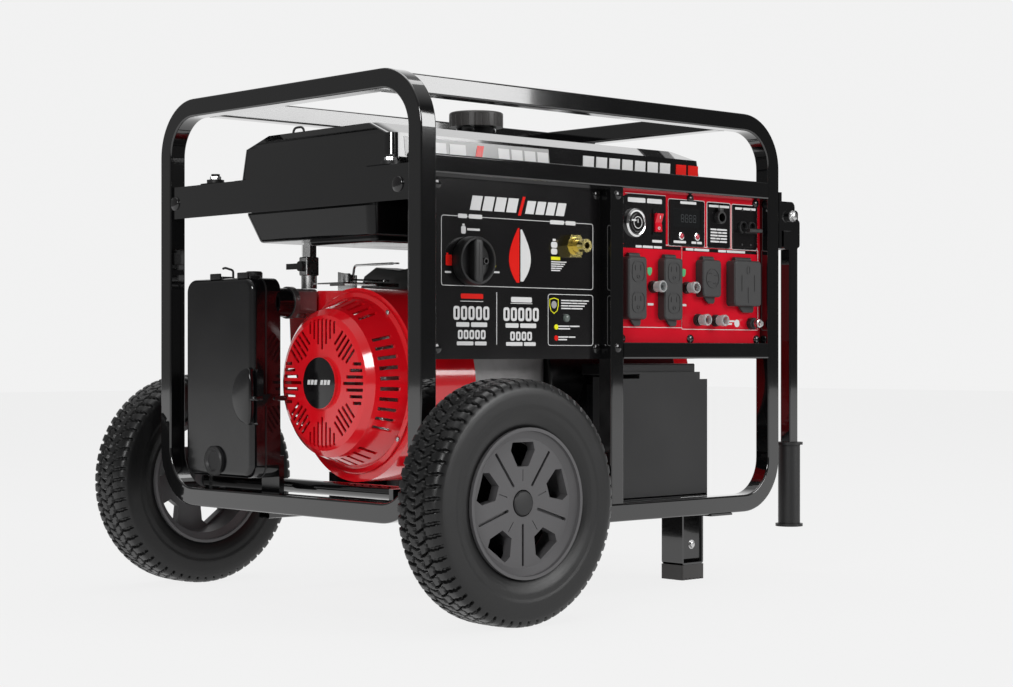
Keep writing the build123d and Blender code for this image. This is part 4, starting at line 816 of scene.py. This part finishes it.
def sideBand(x0, x1, z0, z1, lean=0.0, lift=0.4):
    # a thin strip laid on the tank's sloping front, whose y falls back by 5 mm over its height
    y0, y1 = (-(167.0 - 5.0 * (z - 568.0) / 46.0) - lift for z in (z0, z1))
    points = np.array([[(x0 - lean, y0, z0), (x0 + lean, y1, z1)],
                       [(x1 - lean, y0, z0), (x1 + lean, y1, z1)]])
    solid = np.concatenate([points, points[::-1] + [0, lift + 0.3, 0]], 0)
    verts, faces = gridShape(solid, closeU=True)
    return verts, faces + [[0, 2, 4, 6], [1, 3, 5, 7]]


makePiece("tankBandGrey", [sideBand(74.0, 330.0, 584.0, 610.0)], mats["greyInk"], "frame")
bars = [sideBand(82.0 + 34.0 * k, 110.0 + 34.0 * k, 586.0, 605.0, 0.0, 0.8) for k in range(3)]
bars += [sideBand(236.0 + 24.0 * k, 256.0 + 24.0 * k, 586.0, 605.0, 0.0, 0.8) for k in range(4)]
bars += [sideBand(395.0 + 26.0 * k, 416.0 + 26.0 * k, 586.0, 606.0, 1.5, 0.8) for k in range(7)]
makePiece("tankBarsWhite", bars, mats["whiteInk"], "frame")
makePiece("tankBarsRed", [sideBand(585.0 + 26.0 * k, 606.0 + 26.0 * k, 586.0, 606.0, 1.5,
                                   0.8) for k in range(2)]
          + [sideBand(196.0, 208.0, 586.0, 606.0, 3.0, 0.8)], mats["redInk"], "frame")
print("tank done")

governor = dict(x=222.0, plate=((160.0, 450.0), (118.0, 444.0), (118.0, 414.0), (160.0, 414.0)), armX=219.0,
                armZ=458.0)
duct = dict(x=292.0, depth=42.0, outline=((148.0, 423.0), (138.0, 444.0), (112.0, 456.0), (60.0, 450.0),
                                          (4.0, 457.0), (4.0, 418.0)))


def uprightOutline(points):
    # (y, z) points as an outline on a plate that faces -X, running anticlockwise as seen from outside
    flipped = np.array([(-y, z) for y, z in points])
    turned = np.roll(flipped, -1, 0)
    area = np.sum(flipped[:, 0] * turned[:, 1] - turned[:, 0] * flipped[:, 1])
    return flipped if area > 0 else flipped[::-1]


g = governor
linkage = [prism(uprightOutline(g["plate"]), (g["x"], 0.0, 0.0), left, 2.0, 0.5, 2),
           tubeAlong(bentPath([(g["armX"], 124.0, 440.0), (g["armX"], 120.0, g["armZ"]),
                               (g["armX"], 34.0, g["armZ"])], 6.0), 1.8, 8),
           lathe([(5.0, 0.0), (5.0, 2.0), (2.6, 2.0), (2.6, 0.0), (5.0, 0.0)],
                 (g["armX"], 28.0, g["armZ"] - 1.0), up, 24)]
makePiece("governorLinkage", linkage, mats["zincSteel"], "frame")
d = duct
makePiece("coolingDuct", [prism(uprightOutline(d["outline"]), (d["x"], 0.0, 0.0), left, d["depth"], 3.0,
                                4)],
          mats["softPlastic"], "frame")
print("engine details done")

# place in metres, yaw in degrees, film width and lens in millimetres, rise as a share of the width
view = dict(place=(hoopX - 1.592606, -2.151240, 0.330599), yaw=47.14649, film=36.0, lens=72.22943,
            rise=0.0111836)
cameraData = bpy.data.cameras.new("camera")
cameraData.sensor_width = view["film"]
cameraData.lens = view["lens"]
cameraData.shift_y = view["rise"]
camera = bpy.data.objects.new("camera", cameraData)
camera.location = view["place"]
camera.rotation_euler = (math.radians(90), 0, math.radians(view["yaw"] - 90))
bpy.context.scene.collection.objects.link(camera)
bpy.context.scene.camera = camera

paper = dict(shade=0.885, shadow=0.06, reach=14.0)


def floorMaterial():
    # an evenly lit pale sheet: mostly its own light, with a little diffuse for the contact shadow
    material = bpy.data.materials.new("palePaper")
    material.use_nodes = True
    tree, link = material.node_tree.nodes, material.node_tree.links
    shader = tree["Principled BSDF"]
    shader.inputs["Roughness"].default_value = 1.0
    shader.inputs["Specular IOR Level"].default_value = 0.0
    shader.inputs["Emission Color"].default_value = (paper["shade"],) * 3 + (1,)
    shader.inputs["Emission Strength"].default_value = 1.0 - paper["shadow"]
    grain = tree.new("ShaderNodeTexNoise")
    grain.inputs["Scale"].default_value = 3.0
    where = tree.new("ShaderNodeTexCoord")
    shade = tree.new("ShaderNodeMapRange")
    shade.inputs["To Min"].default_value = paper["shadow"] * 0.86
    shade.inputs["To Max"].default_value = paper["shadow"] * 0.9
    link.new(where.outputs["Object"], grain.inputs["Vector"])
    link.new(grain.outputs["Fac"], shade.inputs["Value"])
    link.new(shade.outputs["Result"], shader.inputs["Base Color"])
    return material


reach = paper["reach"]
corners = [(-reach, -reach, 0), (reach, -reach, 0), (reach, reach, 0), (-reach, reach, 0)]
floorMesh = bpy.data.meshes.new("floor")
floorMesh.from_pydata(corners, [], [(0, 1, 2, 3)])
floor = bpy.data.objects.new("floor", floorMesh)
bpy.context.scene.collection.objects.link(floor)
floorMesh.materials.append(floorMaterial())

world = bpy.data.worlds.new("studio")
bpy.context.scene.world = world
world.use_nodes = True
tree, link = world.node_tree.nodes, world.node_tree.links
background = tree["Background"]
direction = tree.new("ShaderNodeTexCoord")


def facing(towards, low, high, dark, light):
    # brightness from dark to light as the direction turns towards the given one
    dot = tree.new("ShaderNodeVectorMath")
    dot.operation = "DOT_PRODUCT"
    dot.inputs[1].default_value = towards
    ramp = tree.new("ShaderNodeMapRange")
    ramp.interpolation_type = "SMOOTHSTEP"
    for socket, value in (("From Min", low), ("From Max", high), ("To Min", dark), ("To Max", light)):
        ramp.inputs[socket].default_value = value
    link.new(direction.outputs["Generated"], dot.inputs[0])
    link.new(dot.outputs["Value"], ramp.inputs["Value"])
    return ramp.outputs["Result"]


def brighter(a, b):
    pick = tree.new("ShaderNodeMath")
    pick.operation = "MAXIMUM"
    link.new(a, pick.inputs[0])
    link.new(b, pick.inputs[1])
    return pick.outputs["Value"]


sides = facing((-0.68, 0.73, 0.0), -0.7, 0.9, 0.07, 0.2)
backdrop = facing((0.68, 0.73, 0.0), 0.55, 0.9, 0.0, 0.88)
above = facing((0.0, 0.0, 1.0), 0.45, 0.95, 0.0, 0.75)
studio = brighter(brighter(sides, backdrop), above)
isCamera = tree.new("ShaderNodeLightPath")
pick = tree.new("ShaderNodeMix")
pick.inputs["B"].default_value = paper["shade"]
link.new(isCamera.outputs["Is Camera Ray"], pick.inputs["Factor"])
link.new(studio, pick.inputs["A"])
link.new(pick.outputs["Result"], background.inputs["Color"])

lamps = {
    "softbox": dict(at=(3.82, -7.03, 3.25), aim=(0, 0, 3.0), size=(3.84, 3.4), power=330.0),
    "overhead": dict(at=(0.3, 0.3, 3.4), aim=(0, 0, 0.3), size=(2.6, 2.6), power=45.0),
    "leftSoft": dict(at=(-3.4, -1.9, 1.9), aim=(0, 0, 0.3), size=(1.0, 1.0), power=60.0),
}
for name, lamp in lamps.items():
    data = bpy.data.lights.new(name, "AREA")
    data.shape = "RECTANGLE"
    data.size, data.size_y = lamp["size"]
    data.energy = lamp["power"]
    light = bpy.data.objects.new(name, data)
    light.location = lamp["at"]
    aim = Vector(lamp["aim"]) - Vector(lamp["at"])
    light.rotation_euler = aim.to_track_quat("-Z", "Y").to_euler()
    bpy.context.scene.collection.objects.link(light)
bpy.context.scene.view_settings.view_transform = "Standard"
print("camera and light ready")
